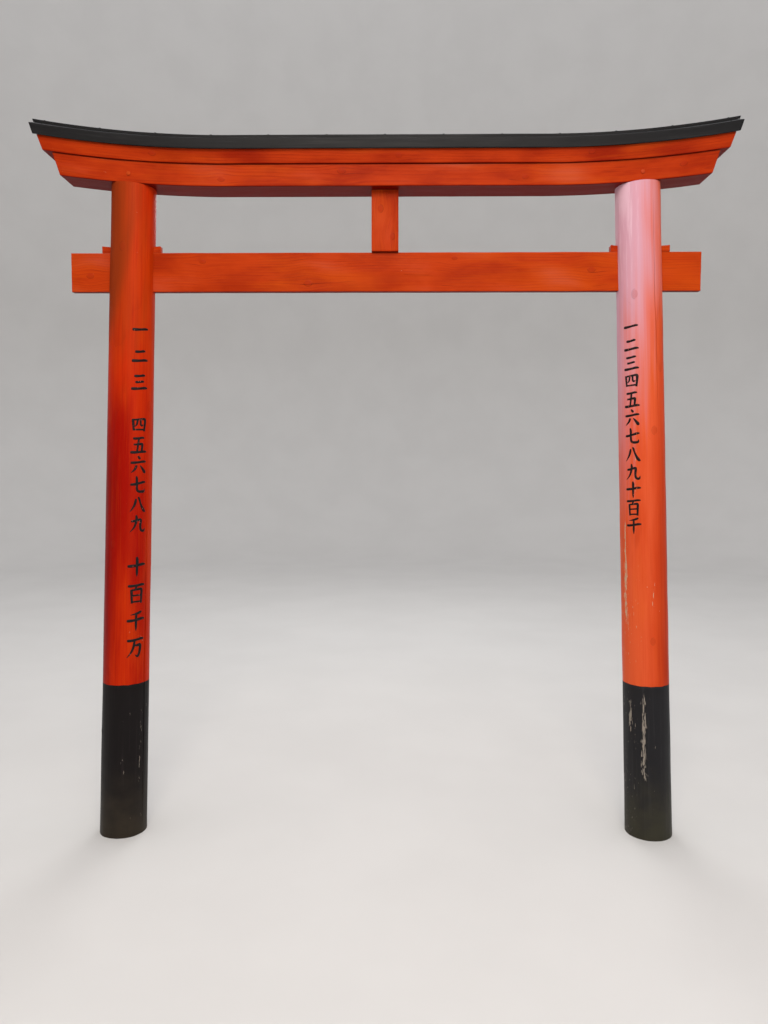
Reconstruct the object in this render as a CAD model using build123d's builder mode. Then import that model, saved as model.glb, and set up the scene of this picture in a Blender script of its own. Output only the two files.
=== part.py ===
from build123d import *
import math
import os

os.makedirs("parts", exist_ok=True)

# A timber gate of two leaning round posts, a tie beam wedged through them, and a stack of lintels
# with a boarded top whose ends curve up.
# X runs along the beams, Y from front to back and Z up. Sizes are in millimetres.
# The origin is the centre of the left post's foot.

# Posts
POST_SPACING = 2140.0  # between the post centres at the ground
POST_LEAN = 0.037  # how far a post leans inward for each unit of height
POST_FOOT_DIAMETER = 186.0
POST_TOP_DIAMETER = 171.0
GROUND_ALLOWANCE = 30.0  # length turned past the foot before it is cut level
TRIM_ALLOWANCE = 80.0  # length turned past the lintel's seat before it is cut to it

# Tie beam
TIE_BOTTOM = 2160.0  # height of its underside above the ground
TIE_HEIGHT = 150.0
TIE_THICKNESS = 30.0
TIE_PROTRUSION = 150.0  # how far it runs on past each post
MORTISE_SIDE_CLEARANCE = 0.5

# Wedges above the tie beam, one from each side of each post
WEDGE_TIP_HEIGHT = 16.0
WEDGE_SLOPE = 1.0 / 12.0
WEDGE_TIP_GAP = 4.0  # from the post's axis to the wedge's tip
WEDGE_HEAD = 28.0  # how far its head stands out of the post
WEDGE_SIDE_CLEARANCE = 0.5

# Centre strut between the tie beam and the lower lintel
STRUT_HEIGHT = 235.0
STRUT_WIDTH = 105.0
STRUT_THICKNESS = 54.0
STRUT_TENON_WIDTH = 60.0
STRUT_TENON_THICKNESS = 12.0
STRUT_TENON_LENGTH = 30.0

# Lintels
LOWER_LINTEL_HEIGHT = 82.0
LOWER_LINTEL_DEPTH = 135.0
LOWER_LINTEL_REACH = 1225.0  # from the gate's centre to the end, along the seat's level
TOP_LINTEL_HEIGHT = 52.0  # at its front and back faces
TOP_LINTEL_FOOT_DEPTH = 150.0
TOP_LINTEL_DEPTH = 166.0
TOP_LINTEL_STEP = 32.0  # how far its end stands out past the lower lintel's
END_RAKE = 18.0  # degrees by which the ends slope outward as they rise

# Camber of the lintels and the boards: straight in the middle, curving up at both ends
CAMBER_START = 600.0  # from the gate's centre
CAMBER_REACH = 1350.0  # where the rise below is measured
CAMBER_RISE = 60.0
END_ALLOWANCE = 160.0  # length bent past the reach before the end is cut to its rake

# Boarded top
ROOF_PITCH = 20.0  # degrees
ROOF_BOARD_THICKNESS = 38.0
ROOF_EAVE = 10.0  # how far a board stands out past the top lintel's face
ROOF_STEP = 12.0  # how far its end stands out past the top lintel's
RIDGE_CAP_WIDTH = 56.0
RIDGE_CAP_THICKNESS = 11.0

# Tenons at the post tops, and the pegs through them
POST_TENON_SIZE = 60.0
POST_TENON_LENGTH = 76.0
POST_TENON_HEADROOM = 2.0
POST_TENON_CLEARANCE = 0.5
PEG_DIAMETER = 16.0
PEG_HEIGHT = 50.0  # from the seat's level to the peg's centre
PEG_PROUD = 3.0
PEG_CLEARANCE = 0.1

ARRIS = 2.5  # chamfer along the edges of the sawn timbers
SMALL_ARRIS = 1.5

# Levels and places that follow from the sizes
tie_top = TIE_BOTTOM + TIE_HEIGHT
tie_middle = TIE_BOTTOM + TIE_HEIGHT / 2
seat = tie_top + STRUT_HEIGHT
centre_x = POST_SPACING / 2
centre_plane = Plane.YZ.offset(centre_x)
lean_angle = math.atan(POST_LEAN)
post_length = (seat + TRIM_ALLOWANCE) / math.cos(lean_angle)
camber_run = CAMBER_REACH - CAMBER_START
camber_radius = (camber_run**2 + CAMBER_RISE**2) / (2 * CAMBER_RISE)
roof_pitch = math.radians(ROOF_PITCH)
end_rake = math.radians(END_RAKE)

# Each side: its name, the x of the post's foot, and the sign of x towards the gate's centre
SIDES = (("left", 0.0, 1), ("right", POST_SPACING, -1))


def post_radius(height):
    """Radius of a tapering post at a height."""
    taper = (POST_TOP_DIAMETER - POST_FOOT_DIAMETER) * height / post_length
    return (POST_FOOT_DIAMETER + taper) / 2


def axis_x(foot_x, toward, height):
    """The x of a leaning post's axis at a height."""
    return foot_x + toward * POST_LEAN * height


def cambered_bar(section, reach):
    """A bar of the given section, straight in the middle, with raked ends that curve up."""
    turn_centre = (centre_x + CAMBER_START, 0, seat + camber_radius)
    turn = math.degrees(math.asin((reach + END_ALLOWANCE - CAMBER_START) / camber_radius))
    end_plane = Plane(
        origin=(centre_x + reach, 0, seat),
        x_dir=(0, 1, 0),
        z_dir=(math.cos(end_rake), 0, -math.sin(end_rake)),
    )
    with BuildPart() as bar:
        extrude(section, amount=CAMBER_START, dir=(1, 0, 0))
        end_face = bar.faces().sort_by(Axis.X)[-1]
        revolve(end_face, axis=Axis(turn_centre, (0, -1, 0)), revolution_arc=turn)
        split(bisect_by=end_plane, keep=Keep.BOTTOM)
        mirror(about=centre_plane)
    return bar.part


# The space above the lintel's seat, which trims the post tops
with BuildSketch(centre_plane) as trim_section:
    with Locations((0, seat)):
        Rectangle(POST_FOOT_DIAMETER * 2, TRIM_ALLOWANCE * 2, align=(Align.CENTER, Align.MIN))
above_seat = cambered_bar(trim_section.sketch, CAMBER_REACH)

# Posts: turned logs with a foot cut level, a wedged mortise through them and a tenon on top
for side, foot_x, toward in SIDES:
    lean = toward * lean_angle
    tie_x = axis_x(foot_x, toward, tie_middle)
    seat_x = axis_x(foot_x, toward, seat)
    log_axis = Axis((foot_x, 0, 0), (math.sin(lean), 0, math.cos(lean)))
    log_plane = Plane(
        origin=(foot_x, 0, 0), x_dir=(math.cos(lean), 0, -math.sin(lean)), z_dir=(0, -1, 0)
    )
    mortise_half = POST_FOOT_DIAMETER
    mortise_flare = WEDGE_TIP_HEIGHT + WEDGE_SLOPE * (mortise_half - WEDGE_TIP_GAP)
    with BuildPart() as post:
        with BuildSketch(log_plane):
            with BuildLine():
                Polyline(
                    (0, -GROUND_ALLOWANCE),
                    (post_radius(-GROUND_ALLOWANCE), -GROUND_ALLOWANCE),
                    (post_radius(post_length), post_length),
                    (0, post_length),
                    close=True,
                )
            make_face()
        revolve(axis=log_axis)
        split(bisect_by=Plane.XY, keep=Keep.TOP)
        add(above_seat, mode=Mode.SUBTRACT)
        # The mortise's roof flares outward from a short flat, to take the wedges
        with BuildSketch(Plane.XZ):
            with BuildLine():
                Polyline(
                    (tie_x - mortise_half, TIE_BOTTOM),
                    (tie_x + mortise_half, TIE_BOTTOM),
                    (tie_x + mortise_half, tie_top + mortise_flare),
                    (tie_x + WEDGE_TIP_GAP, tie_top + WEDGE_TIP_HEIGHT),
                    (tie_x - WEDGE_TIP_GAP, tie_top + WEDGE_TIP_HEIGHT),
                    (tie_x - mortise_half, tie_top + mortise_flare),
                    close=True,
                )
            make_face()
        extrude(amount=TIE_THICKNESS / 2 + MORTISE_SIDE_CLEARANCE, both=True, mode=Mode.SUBTRACT)
        # The tenon stands upright, so that the lintel can drop on to both posts
        with BuildSketch(Plane.XY.offset(seat - POST_TENON_LENGTH / 2)):
            with Locations((seat_x, 0)):
                Rectangle(POST_TENON_SIZE, POST_TENON_SIZE)
        extrude(amount=POST_TENON_LENGTH * 3 / 2)
        tenon_top = post.faces().sort_by(Axis.Z)[-1]
        chamfer(tenon_top.edges(), length=SMALL_ARRIS)
        with BuildSketch(Plane.XZ):
            with Locations((seat_x, seat + PEG_HEIGHT)):
                Circle(PEG_DIAMETER / 2)
        extrude(amount=POST_TENON_SIZE, both=True, mode=Mode.SUBTRACT)
    post.part.label = f"{side}_post"
    export_step(post.part, f"parts/{side}_post.step")

    # The inner and the outer wedge press the tie beam down on to the mortise's floor
    wedge_length = post_radius(tie_top) + WEDGE_HEAD
    wedge_head_height = WEDGE_TIP_HEIGHT + WEDGE_SLOPE * (wedge_length - WEDGE_TIP_GAP)
    for place, outward in (("inner", toward), ("outer", -toward)):
        with BuildPart() as wedge:
            with BuildSketch(Plane.XZ):
                with BuildLine():
                    Polyline(
                        (tie_x + outward * WEDGE_TIP_GAP, tie_top),
                        (tie_x + outward * wedge_length, tie_top),
                        (tie_x + outward * wedge_length, tie_top + wedge_head_height),
                        (tie_x + outward * WEDGE_TIP_GAP, tie_top + WEDGE_TIP_HEIGHT),
                        close=True,
                    )
                make_face()
            extrude(amount=TIE_THICKNESS / 2 - WEDGE_SIDE_CLEARANCE, both=True)
            head_face = wedge.faces().sort_by(Axis.X)[-1 if outward > 0 else 0]
            chamfer(head_face.edges(), length=ARRIS)
        wedge.part.label = f"{side}_{place}_wedge"
        export_step(wedge.part, f"parts/{side}_{place}_wedge.step")

    # The peg through the tenon shows on both faces of the lower lintel
    with BuildPart() as peg:
        with BuildSketch(Plane.XZ):
            with Locations((seat_x, seat + PEG_HEIGHT)):
                Circle(PEG_DIAMETER / 2 - PEG_CLEARANCE)
        extrude(amount=LOWER_LINTEL_DEPTH / 2 + PEG_PROUD, both=True)
        chamfer(peg.faces().filter_by(Axis.Y).edges(), length=SMALL_ARRIS)
    peg.part.label = f"{side}_tenon_peg"
    export_step(peg.part, f"parts/{side}_tenon_peg.step")

# Tie beam: one plank through both posts, with a slot in its top edge for the strut
tie_half_length = (
    centre_x - axis_x(0, 1, tie_middle) + post_radius(tie_middle) + TIE_PROTRUSION
)
with BuildPart() as tie_beam:
    with BuildSketch(centre_plane):
        with Locations((0, tie_middle)):
            Rectangle(TIE_THICKNESS, TIE_HEIGHT)
    extrude(amount=tie_half_length, both=True)
    chamfer(tie_beam.edges().filter_by(Axis.X), length=SMALL_ARRIS)
    chamfer(tie_beam.faces().filter_by(Axis.X).edges(), length=SMALL_ARRIS)
    with BuildSketch(Plane.XY.offset(tie_top)):
        with Locations((centre_x, 0)):
            Rectangle(
                STRUT_TENON_WIDTH + 2 * MORTISE_SIDE_CLEARANCE,
                STRUT_TENON_THICKNESS + 2 * MORTISE_SIDE_CLEARANCE,
            )
    extrude(amount=-(STRUT_TENON_LENGTH + POST_TENON_HEADROOM), mode=Mode.SUBTRACT)
tie_beam.part.label = "tie_beam"
export_step(tie_beam.part, "parts/tie_beam.step")

# Centre strut, with a stub tenon at each end
with BuildPart() as centre_strut:
    with BuildSketch(Plane.XY.offset(tie_top)):
        with Locations((centre_x, 0)):
            Rectangle(STRUT_WIDTH, STRUT_THICKNESS)
    extrude(amount=STRUT_HEIGHT)
    chamfer(centre_strut.edges().filter_by(Axis.Z), length=ARRIS)
    with BuildSketch(Plane.XY.offset(tie_top - STRUT_TENON_LENGTH)):
        with Locations((centre_x, 0)):
            Rectangle(STRUT_TENON_WIDTH, STRUT_TENON_THICKNESS)
    extrude(amount=STRUT_HEIGHT + 2 * STRUT_TENON_LENGTH)
centre_strut.part.label = "centre_strut"
export_step(centre_strut.part, "parts/centre_strut.step")

# Lower lintel: seated on the posts, with a pocket for each tenon
with BuildSketch(centre_plane) as lower_section:
    with Locations((0, seat)):
        Rectangle(LOWER_LINTEL_DEPTH, LOWER_LINTEL_HEIGHT, align=(Align.CENTER, Align.MIN))
    chamfer(lower_section.vertices(), length=ARRIS)
with BuildPart() as lower_lintel:
    add(cambered_bar(lower_section.sketch, LOWER_LINTEL_REACH))
    tenon_places = [(axis_x(foot_x, toward, seat), 0) for _, foot_x, toward in SIDES]
    with BuildSketch(Plane.XY.offset(seat + POST_TENON_LENGTH + POST_TENON_HEADROOM)):
        with Locations(*tenon_places):
            pocket = POST_TENON_SIZE + 2 * POST_TENON_CLEARANCE
            Rectangle(pocket, pocket)
    extrude(amount=-2 * POST_TENON_LENGTH, mode=Mode.SUBTRACT)
    with BuildSketch(Plane.XY.offset(seat + STRUT_TENON_LENGTH + POST_TENON_HEADROOM)):
        with Locations((centre_x, 0)):
            Rectangle(
                STRUT_TENON_WIDTH + 2 * MORTISE_SIDE_CLEARANCE,
                STRUT_TENON_THICKNESS + 2 * MORTISE_SIDE_CLEARANCE,
            )
    extrude(amount=-2 * STRUT_TENON_LENGTH, mode=Mode.SUBTRACT)
    with BuildSketch(Plane.XZ):
        with Locations(*[(x, seat + PEG_HEIGHT) for x, _ in tenon_places]):
            Circle(PEG_DIAMETER / 2)
    extrude(amount=LOWER_LINTEL_DEPTH, both=True, mode=Mode.SUBTRACT)
lower_lintel.part.label = "lower_lintel"
export_step(lower_lintel.part, "parts/lower_lintel.step")

# Top lintel: faces that lean out as they rise, and a low gable on top
lower_top = seat + LOWER_LINTEL_HEIGHT
top_eave = lower_top + TOP_LINTEL_HEIGHT
top_reach = LOWER_LINTEL_REACH + TOP_LINTEL_STEP
gable_rise = TOP_LINTEL_DEPTH / 2 * math.tan(roof_pitch)
with BuildSketch(centre_plane) as top_section:
    with BuildLine():
        Polyline(
            (-TOP_LINTEL_FOOT_DEPTH / 2, lower_top),
            (TOP_LINTEL_FOOT_DEPTH / 2, lower_top),
            (TOP_LINTEL_DEPTH / 2, top_eave),
            (0, top_eave + gable_rise),
            (-TOP_LINTEL_DEPTH / 2, top_eave),
            close=True,
        )
    make_face()
    chamfer(top_section.vertices().group_by(Axis.Y)[0], length=ARRIS)
with BuildPart() as top_lintel:
    add(cambered_bar(top_section.sketch, top_reach))
top_lintel.part.label = "top_lintel"
export_step(top_lintel.part, "parts/top_lintel.step")

# Roof boards: two planks that meet at the ridge, with upright outer edges
roof_reach = top_reach + ROOF_STEP
ridge_level = top_eave + gable_rise
eave_y = TOP_LINTEL_DEPTH / 2 + ROOF_EAVE
eave_level = ridge_level - eave_y * math.tan(roof_pitch)
board_rise = ROOF_BOARD_THICKNESS / math.cos(roof_pitch)
for place, way in (("front", -1), ("back", 1)):
    with BuildSketch(centre_plane) as board_section:
        with BuildLine():
            Polyline(
                (0, ridge_level),
                (way * eave_y, eave_level),
                (way * eave_y, eave_level + board_rise),
                (0, ridge_level + board_rise),
                close=True,
            )
        make_face()
        outer_corners = board_section.vertices().group_by(Axis.X)[-1 if way > 0 else 0]
        chamfer(outer_corners, length=ARRIS)
    with BuildPart() as roof_board:
        add(cambered_bar(board_section.sketch, roof_reach))
    roof_board.part.label = f"{place}_roof_board"
    export_step(roof_board.part, f"parts/{place}_roof_board.step")

# Ridge cap: a bent strip over the joint between the two boards
cap_foot = ridge_level + board_rise
cap_drop = RIDGE_CAP_WIDTH / 2 * math.tan(roof_pitch)
cap_rise = RIDGE_CAP_THICKNESS / math.cos(roof_pitch)
with BuildSketch(centre_plane) as cap_section:
    with BuildLine():
        Polyline(
            (0, cap_foot),
            (RIDGE_CAP_WIDTH / 2, cap_foot - cap_drop),
            (RIDGE_CAP_WIDTH / 2, cap_foot - cap_drop + cap_rise),
            (0, cap_foot + cap_rise),
            (-RIDGE_CAP_WIDTH / 2, cap_foot - cap_drop + cap_rise),
            (-RIDGE_CAP_WIDTH / 2, cap_foot - cap_drop),
            close=True,
        )
    make_face()
with BuildPart() as ridge_cap:
    add(cambered_bar(cap_section.sketch, roof_reach))
ridge_cap.part.label = "ridge_cap"
export_step(ridge_cap.part, "parts/ridge_cap.step")
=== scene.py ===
"""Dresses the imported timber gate: painted logs and planks, brushed numerals, floor and light.

Everything is in metres. X runs along the beams from the left post to the right post, Y from
front to back and Z up, with the origin at the centre of the left post's foot.
"""

import logging
import math
from collections.abc import Callable, Sequence
from dataclasses import dataclass, field
from enum import Enum
from itertools import product

import bmesh
import bpy
import numpy as np
from mathutils import Matrix, Vector


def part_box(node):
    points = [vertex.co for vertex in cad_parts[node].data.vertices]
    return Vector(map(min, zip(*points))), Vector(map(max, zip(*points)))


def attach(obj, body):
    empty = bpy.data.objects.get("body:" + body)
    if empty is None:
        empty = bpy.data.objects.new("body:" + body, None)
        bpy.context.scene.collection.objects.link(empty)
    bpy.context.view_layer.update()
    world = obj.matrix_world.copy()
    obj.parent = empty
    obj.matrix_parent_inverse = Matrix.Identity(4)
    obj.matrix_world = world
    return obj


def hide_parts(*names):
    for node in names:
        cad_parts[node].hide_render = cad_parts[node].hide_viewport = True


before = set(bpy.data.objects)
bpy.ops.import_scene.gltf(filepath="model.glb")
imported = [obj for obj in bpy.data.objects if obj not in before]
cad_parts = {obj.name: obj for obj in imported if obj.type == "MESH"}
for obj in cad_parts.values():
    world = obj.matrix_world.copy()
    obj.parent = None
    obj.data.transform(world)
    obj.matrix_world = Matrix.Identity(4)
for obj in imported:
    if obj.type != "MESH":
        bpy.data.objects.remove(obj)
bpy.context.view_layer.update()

logging.basicConfig(level=logging.INFO, format="%(message)s")
log = logging.getLogger("gate")

BODY = "root"
VERMILION = "vermilion_cedar"
BLACK = "black_cedar"
# Faces that meet at a steeper angle than this keep a sharp edge between them
SHARP_FROM = math.radians(38)
# A MapRange node with these settings eases in and out
SMOOTHLY = {"interpolation_type": "SMOOTHSTEP"}

Tree = bpy.types.NodeTree
Socket = bpy.types.NodeSocket
# A timber's section as (y, z) corners, and a brush stroke as (across, up, half width) points
Section = tuple[tuple[float, float], ...]
Stroke = tuple[tuple[float, float, float], ...]


def linear(hex_colour: str) -> tuple[float, float, float, float]:
    """Turns an sRGB hex colour into the linear colour that a shader takes.

    Args:
        hex_colour: A colour such as "#DE4A14".

    Returns:
        Linear red, green and blue, and an alpha of 1.
    """
    parts = [int(hex_colour[i:i + 2], 16) / 255 for i in (1, 3, 5)]
    turned = [c / 12.92 if c <= 0.04045 else ((c + 0.055) / 1.055) ** 2.4 for c in parts]
    return (*turned, 1.0)


def add_node(tree: Tree, kind: str, settings: dict[str, object] | None = None,
             inputs: dict[str | int, object] | None = None) -> bpy.types.Node:
    """Adds a node with its settings and its inputs, which are values or sockets to link.

    Args:
        tree: The node tree.
        kind: The node's type name.
        settings: Properties of the node by name.
        inputs: Values or output sockets, by the name or number of the input.

    Returns:
        The new node.
    """
    node = tree.nodes.new(kind)
    for name, value in (settings or {}).items():
        setattr(node, name, value)
    for name, value in (inputs or {}).items():
        if isinstance(value, Socket):
            tree.links.new(value, node.inputs[name])
        else:
            node.inputs[name].default_value = value
    return node


def start_material(name: str) -> tuple[bpy.types.Material, Tree]:
    """Makes a material with an empty node tree.

    Args:
        name: The material's name.

    Returns:
        The material and its tree.
    """
    material = bpy.data.materials.new(name)
    material.use_nodes = True
    material.node_tree.nodes.clear()
    return material, material.node_tree


@dataclass(frozen=True)
class Coat:
    """A colour that covers what is below it where a pattern goes from one value to another."""

    pattern: Socket
    none_at: float
    full_at: float
    share: float
    colour: str


@dataclass(frozen=True)
class Ridge:
    """A relief that a pattern raises, with its height in metres."""

    pattern: Socket
    height: float
    strength: float = 0.5


def lay_coats(tree: Tree, ground: str, coats: Sequence[Coat]) -> Socket:
    """Lays coats over a ground colour, one after the other.

    Args:
        tree: The node tree.
        ground: The ground's hex colour.
        coats: The coats, from the lowest to the uppermost.

    Returns:
        The socket of the final colour.
    """
    colour = linear(ground)
    for coat in coats:
        cover = add_node(tree, "ShaderNodeMapRange", SMOOTHLY, {
            "Value": coat.pattern,
            "From Min": coat.none_at,
            "From Max": coat.full_at,
            "To Max": coat.share,
        })
        mixed = add_node(tree, "ShaderNodeMix", {"data_type": "RGBA"}, {
            0: cover.outputs[0], 6: colour, 7: linear(coat.colour),
        })
        colour = mixed.outputs[2]
    return colour


def raise_ridges(tree: Tree, ridges: Sequence[Ridge]) -> Socket:
    """Adds up the reliefs of a surface.

    Args:
        tree: The node tree.
        ridges: The reliefs.

    Returns:
        The socket of the bumped normal.
    """
    normal: dict[str, Socket] = {}
    for ridge in ridges:
        bump = add_node(tree, "ShaderNodeBump", None, {
            "Height": ridge.pattern, "Distance": ridge.height, "Strength": ridge.strength, **normal,
        })
        normal = {"Normal": bump.outputs[0]}
    return normal["Normal"]


def grain_pattern(tree: Tree, grain: Socket, length: float, width: float, shift: float = 0.0,
                  detail: float = 2.0, turned: float = 0.0) -> Socket:
    """A noise of spots that are drawn out along the grain.

    Args:
        tree: The node tree.
        grain: Coordinates along, across and into the wood.
        length: The length of a spot in metres.
        width: Its width in metres.
        shift: Moves the pattern, so that two finishes differ.
        detail: How many finer patterns lie on it.
        turned: A small angle between the spots and the grain.

    Returns:
        The socket of the pattern, about 0.5 on average.
    """
    place = add_node(tree, "ShaderNodeMapping", None, {
        "Vector": grain,
        "Location": (shift, 0.7 * shift, 1.3 * shift),
        "Rotation": (0, turned, 0.6 * turned),
        "Scale": (1 / length, 1 / width, 1 / width),
    })
    spots = add_node(tree, "ShaderNodeTexNoise", None, {
        "Vector": place.outputs["Vector"], "Scale": 1.0, "Detail": detail, "Roughness": 0.58,
    })
    return spots.outputs[0]


def scraped(tree: Tree, grain: Socket, worn: Socket, shift: float) -> Socket:
    """Where the paint is knocked or scraped off in splinters.

    Args:
        tree: The node tree.
        grain: Coordinates along, across and into the wood.
        worn: How much the place is knocked, from 0.
        shift: Moves the pattern, so that two finishes differ.

    Returns:
        The socket of the pattern, 1 where the paint is gone.
    """
    # The splinters are 4 mm wide and 30 mm long, with ragged edges
    splinters = grain_pattern(tree, grain, 0.030, 0.0040, shift, 4.0, turned=0.05)
    knock_lift = 0.15
    paint_ends, bare_from = 0.765, 0.785
    gone = add_node(tree, "ShaderNodeMath", {"operation": "MULTIPLY_ADD"}, {
        0: worn, 1: knock_lift, 2: splinters,
    })
    edge = add_node(tree, "ShaderNodeMapRange", SMOOTHLY, {
        "Value": gone.outputs[0], "From Min": paint_ends, "From Max": bare_from,
    })
    return edge.outputs[0]


def ripple(places: np.ndarray, wavelengths: tuple[float, ...], seed: int) -> np.ndarray:
    """Smooth waviness, the same on every run, between about -1 and 1.

    Args:
        places: One row of coordinates for each point.
        wavelengths: The rough length of a wave along each coordinate.
        seed: Chooses the pattern.

    Returns:
        One value for each point.
    """
    chance = np.random.default_rng(seed)
    total = np.zeros(len(places))
    waves, crest = 7, 1.4
    for _ in range(waves):
        turns = chance.normal(0, 1, len(wavelengths)) / np.array(wavelengths)
        total += np.sin(2 * math.pi * (places @ turns) + chance.uniform(0, 2 * math.pi))
    return total / math.sqrt(waves) / crest


def smooth_step(values: np.ndarray, low: float, high: float) -> np.ndarray:
    """Rises smoothly from 0 at low to 1 at high, or falls where low is the larger."""
    share = np.clip((values - low) / (high - low), 0, 1)
    return share * share * (3 - 2 * share)


def wrapped(angle: np.ndarray) -> np.ndarray:
    """The same angle, between minus and plus half a turn."""
    return np.angle(np.exp(1j * angle))


class Side(Enum):
    """The gate's two sides, each with the sign of x towards the gate's centre."""

    LEFT = 1
    RIGHT = -1

    @property
    def label(self) -> str:
        """The side's name, as the nodes have it."""
        return self.name.lower()

    @property
    def inward(self) -> float:
        """The way round a post, from +X, at which it faces the passage."""
        return 0.0 if self is Side.LEFT else math.pi


class Grain(Enum):
    """The way that a timber's grain runs, with the bar's own axis that points up."""

    ALONG_BEAM = 2
    UPRIGHT = 0


@dataclass(frozen=True)
class Knot:
    """A knot where a branch grew: a proud oval, with the grain bent round it.

    On a sawn timber its place is measured along and across the grain, and on a log it is
    the height and the way round.
    """

    along: float
    across: float
    length: float = 0.026
    width: float = 0.020
    proud: float = 0.0012


@dataclass(frozen=True)
class DryingCheck:
    """A crack that opened along a log as it dried, at an angle round it from +X."""

    angle: float
    bottom: float
    top: float
    width: float = 0.0026
    depth: float = 0.009
    wander: float = 0.05


@dataclass(frozen=True)
class Scuff:
    """A narrow band along a log where the paint is scraped off in splinters."""

    angle: float
    bottom: float
    top: float
    half_width: float = 0.008
    strength: float = 1.5
    wander: float = 0.05
    fade: float = 0.08


class Skin:
    """The points of a mesh as arrays, with the attributes that its finish reads.

    The grain and the knot are vectors: a place along, across and into the wood, and a place
    in the nearest knot, in radii of that knot. The check, weather and worn attributes are
    shares: dark open wood, bleached paint and painted light (or below zero, painted shade on
    undersides and outer sides), and knocks.
    """

    # A knot's dome, and the groove round it, in its radii
    FAR_FROM_KNOT = 9.0
    KNOT_REACH = 3.0
    DOME_RIM = 1.35
    DOME_TOP = 0.75
    GROOVE_AT = 1.25
    GROOVE_WIDTH = 0.22
    GROOVE_SHARE = 0.45
    # How far the grain bends round a knot, in the knot's lengths and widths
    BENT_ALONG = 2.2
    BENT_ACROSS = 2.0
    BENT_SHARE = 0.75

    def __init__(self, mesh: bpy.types.Mesh) -> None:
        """Reads a mesh.

        Args:
            mesh: The mesh, whose points are written back by store.
        """
        self.mesh = mesh
        self.points = self._read("co")
        self.normals = self._read("normal")
        self.grain = self.points.copy()
        count = len(self.points)
        self.knot = np.full((count, 3), self.FAR_FROM_KNOT)
        self.knot[:, 2] = 0
        self.check = np.zeros(count)
        self.weather_and_painted_light = np.zeros(count)
        self.worn = np.zeros(count)

    def _read(self, name: str) -> np.ndarray:
        """Reads a vector of each point, one to a row."""
        rows = np.empty(len(self.mesh.vertices) * 3)
        self.mesh.vertices.foreach_get(name, rows)
        return rows.reshape(-1, 3)

    def mark_knot(self, knot: Knot, along: np.ndarray, across: np.ndarray) -> np.ndarray:
        """Marks the points in and near a knot.

        Args:
            knot: The knot.
            along: Each point's distance from the knot's centre along the grain.
            across: The same across the grain.

        Returns:
            How far the knot lifts each point: a flat dome with a groove at its rim.
        """
        u, v = along / (knot.length / 2), across / (knot.width / 2)
        distance = np.hypot(u, v)
        near = distance < self.KNOT_REACH
        self.knot[near, 0], self.knot[near, 1] = u[near], v[near]
        dome = smooth_step(distance, self.DOME_RIM, self.DOME_TOP)
        groove = np.exp(-((distance - self.GROOVE_AT) / self.GROOVE_WIDTH) ** 2)
        return knot.proud * (dome - self.GROOVE_SHARE * groove)

    def bend_round(self, knot: Knot) -> np.ndarray:
        """Bends the grain of a sawn timber round a knot, and marks the knot.

        Args:
            knot: The knot, in the bar's own coordinates.

        Returns:
            How far the knot lifts each point.
        """
        along = self.points[:, 0] - knot.along
        across = self.points[:, 2] - knot.across
        reach_along = np.exp(-(along / (self.BENT_ALONG * knot.length)) ** 2)
        reach_across = np.exp(-np.abs(across) / (self.BENT_ACROSS * knot.width))
        self.grain[:, 2] -= self.BENT_SHARE * across * reach_along * reach_across
        return self.mark_knot(knot, along, across)

    def store(self) -> None:
        """Writes the points and the attributes into the mesh."""
        self.mesh.vertices.foreach_set("co", self.points.ravel())
        for name in ("grain", "knot"):
            vectors = self.mesh.attributes.new(name, "FLOAT_VECTOR", "POINT")
            vectors.data.foreach_set("vector", getattr(self, name).astype(np.float32).ravel())
        for name in ("check", "weather_and_painted_light", "worn"):
            values = self.mesh.attributes.new(name, "FLOAT", "POINT")
            values.data.foreach_set("value", getattr(self, name).astype(np.float32))
        self.mesh.update()


def finish_mesh(shape: bmesh.types.BMesh, name: str) -> bpy.types.Mesh:
    """Turns a bmesh into a smooth-shaded mesh whose steep edges stay sharp.

    Args:
        shape: The bmesh, which is freed.
        name: The mesh's name.

    Returns:
        The mesh.
    """
    mesh = bpy.data.meshes.new(name)
    shape.to_mesh(mesh)
    shape.free()
    mesh.shade_smooth()
    mesh.set_sharp_from_angle(angle=SHARP_FROM)
    return mesh


def extrude_outline(corners: Sequence[tuple[float, float, float]],
                    along: tuple[float, float, float]) -> bmesh.types.BMesh:
    """Extrudes a flat outline to a closed bar.

    Args:
        corners: The outline's corners in order.
        along: The way and the length of the extrusion.

    Returns:
        The bmesh, with its faces outward.
    """
    shape = bmesh.new()
    start = shape.faces.new([shape.verts.new(corner) for corner in corners])
    made = bmesh.ops.extrude_face_region(shape, geom=[start], use_keep_orig=True)
    far = [item for item in made["geom"] if isinstance(item, bmesh.types.BMVert)]
    bmesh.ops.translate(shape, verts=far, vec=along)
    bmesh.ops.recalc_face_normals(shape, faces=shape.faces[:])
    return shape


def ease_edges(shape: bmesh.types.BMesh, edges: Sequence[bmesh.types.BMEdge], width: float,
               segments: int) -> None:
    """Rounds edges.

    Args:
        shape: The bmesh.
        edges: The edges to round.
        width: The width of the rounding.
        segments: How many faces it has.
    """
    bmesh.ops.bevel(
        shape, geom=edges, offset=width, offset_type="OFFSET", affect="EDGES",
        segments=segments, profile=0.5, material=-1,
    )


def add_piece(name: str, mesh: bpy.types.Mesh, node: str | None = None) -> bpy.types.Object:
    """Adds a finished piece that rides on the gate.

    Args:
        name: The piece's name.
        mesh: Its mesh, already in place.
        node: The CAD node that it replaces, if any.

    Returns:
        The piece.
    """
    mesh.name = name
    piece = bpy.data.objects.new(name, mesh)
    bpy.context.scene.collection.objects.link(piece)
    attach(piece, BODY)
    if node:
        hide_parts(node)
    log.info("%s: %d faces", name, len(mesh.polygons))
    return piece


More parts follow.
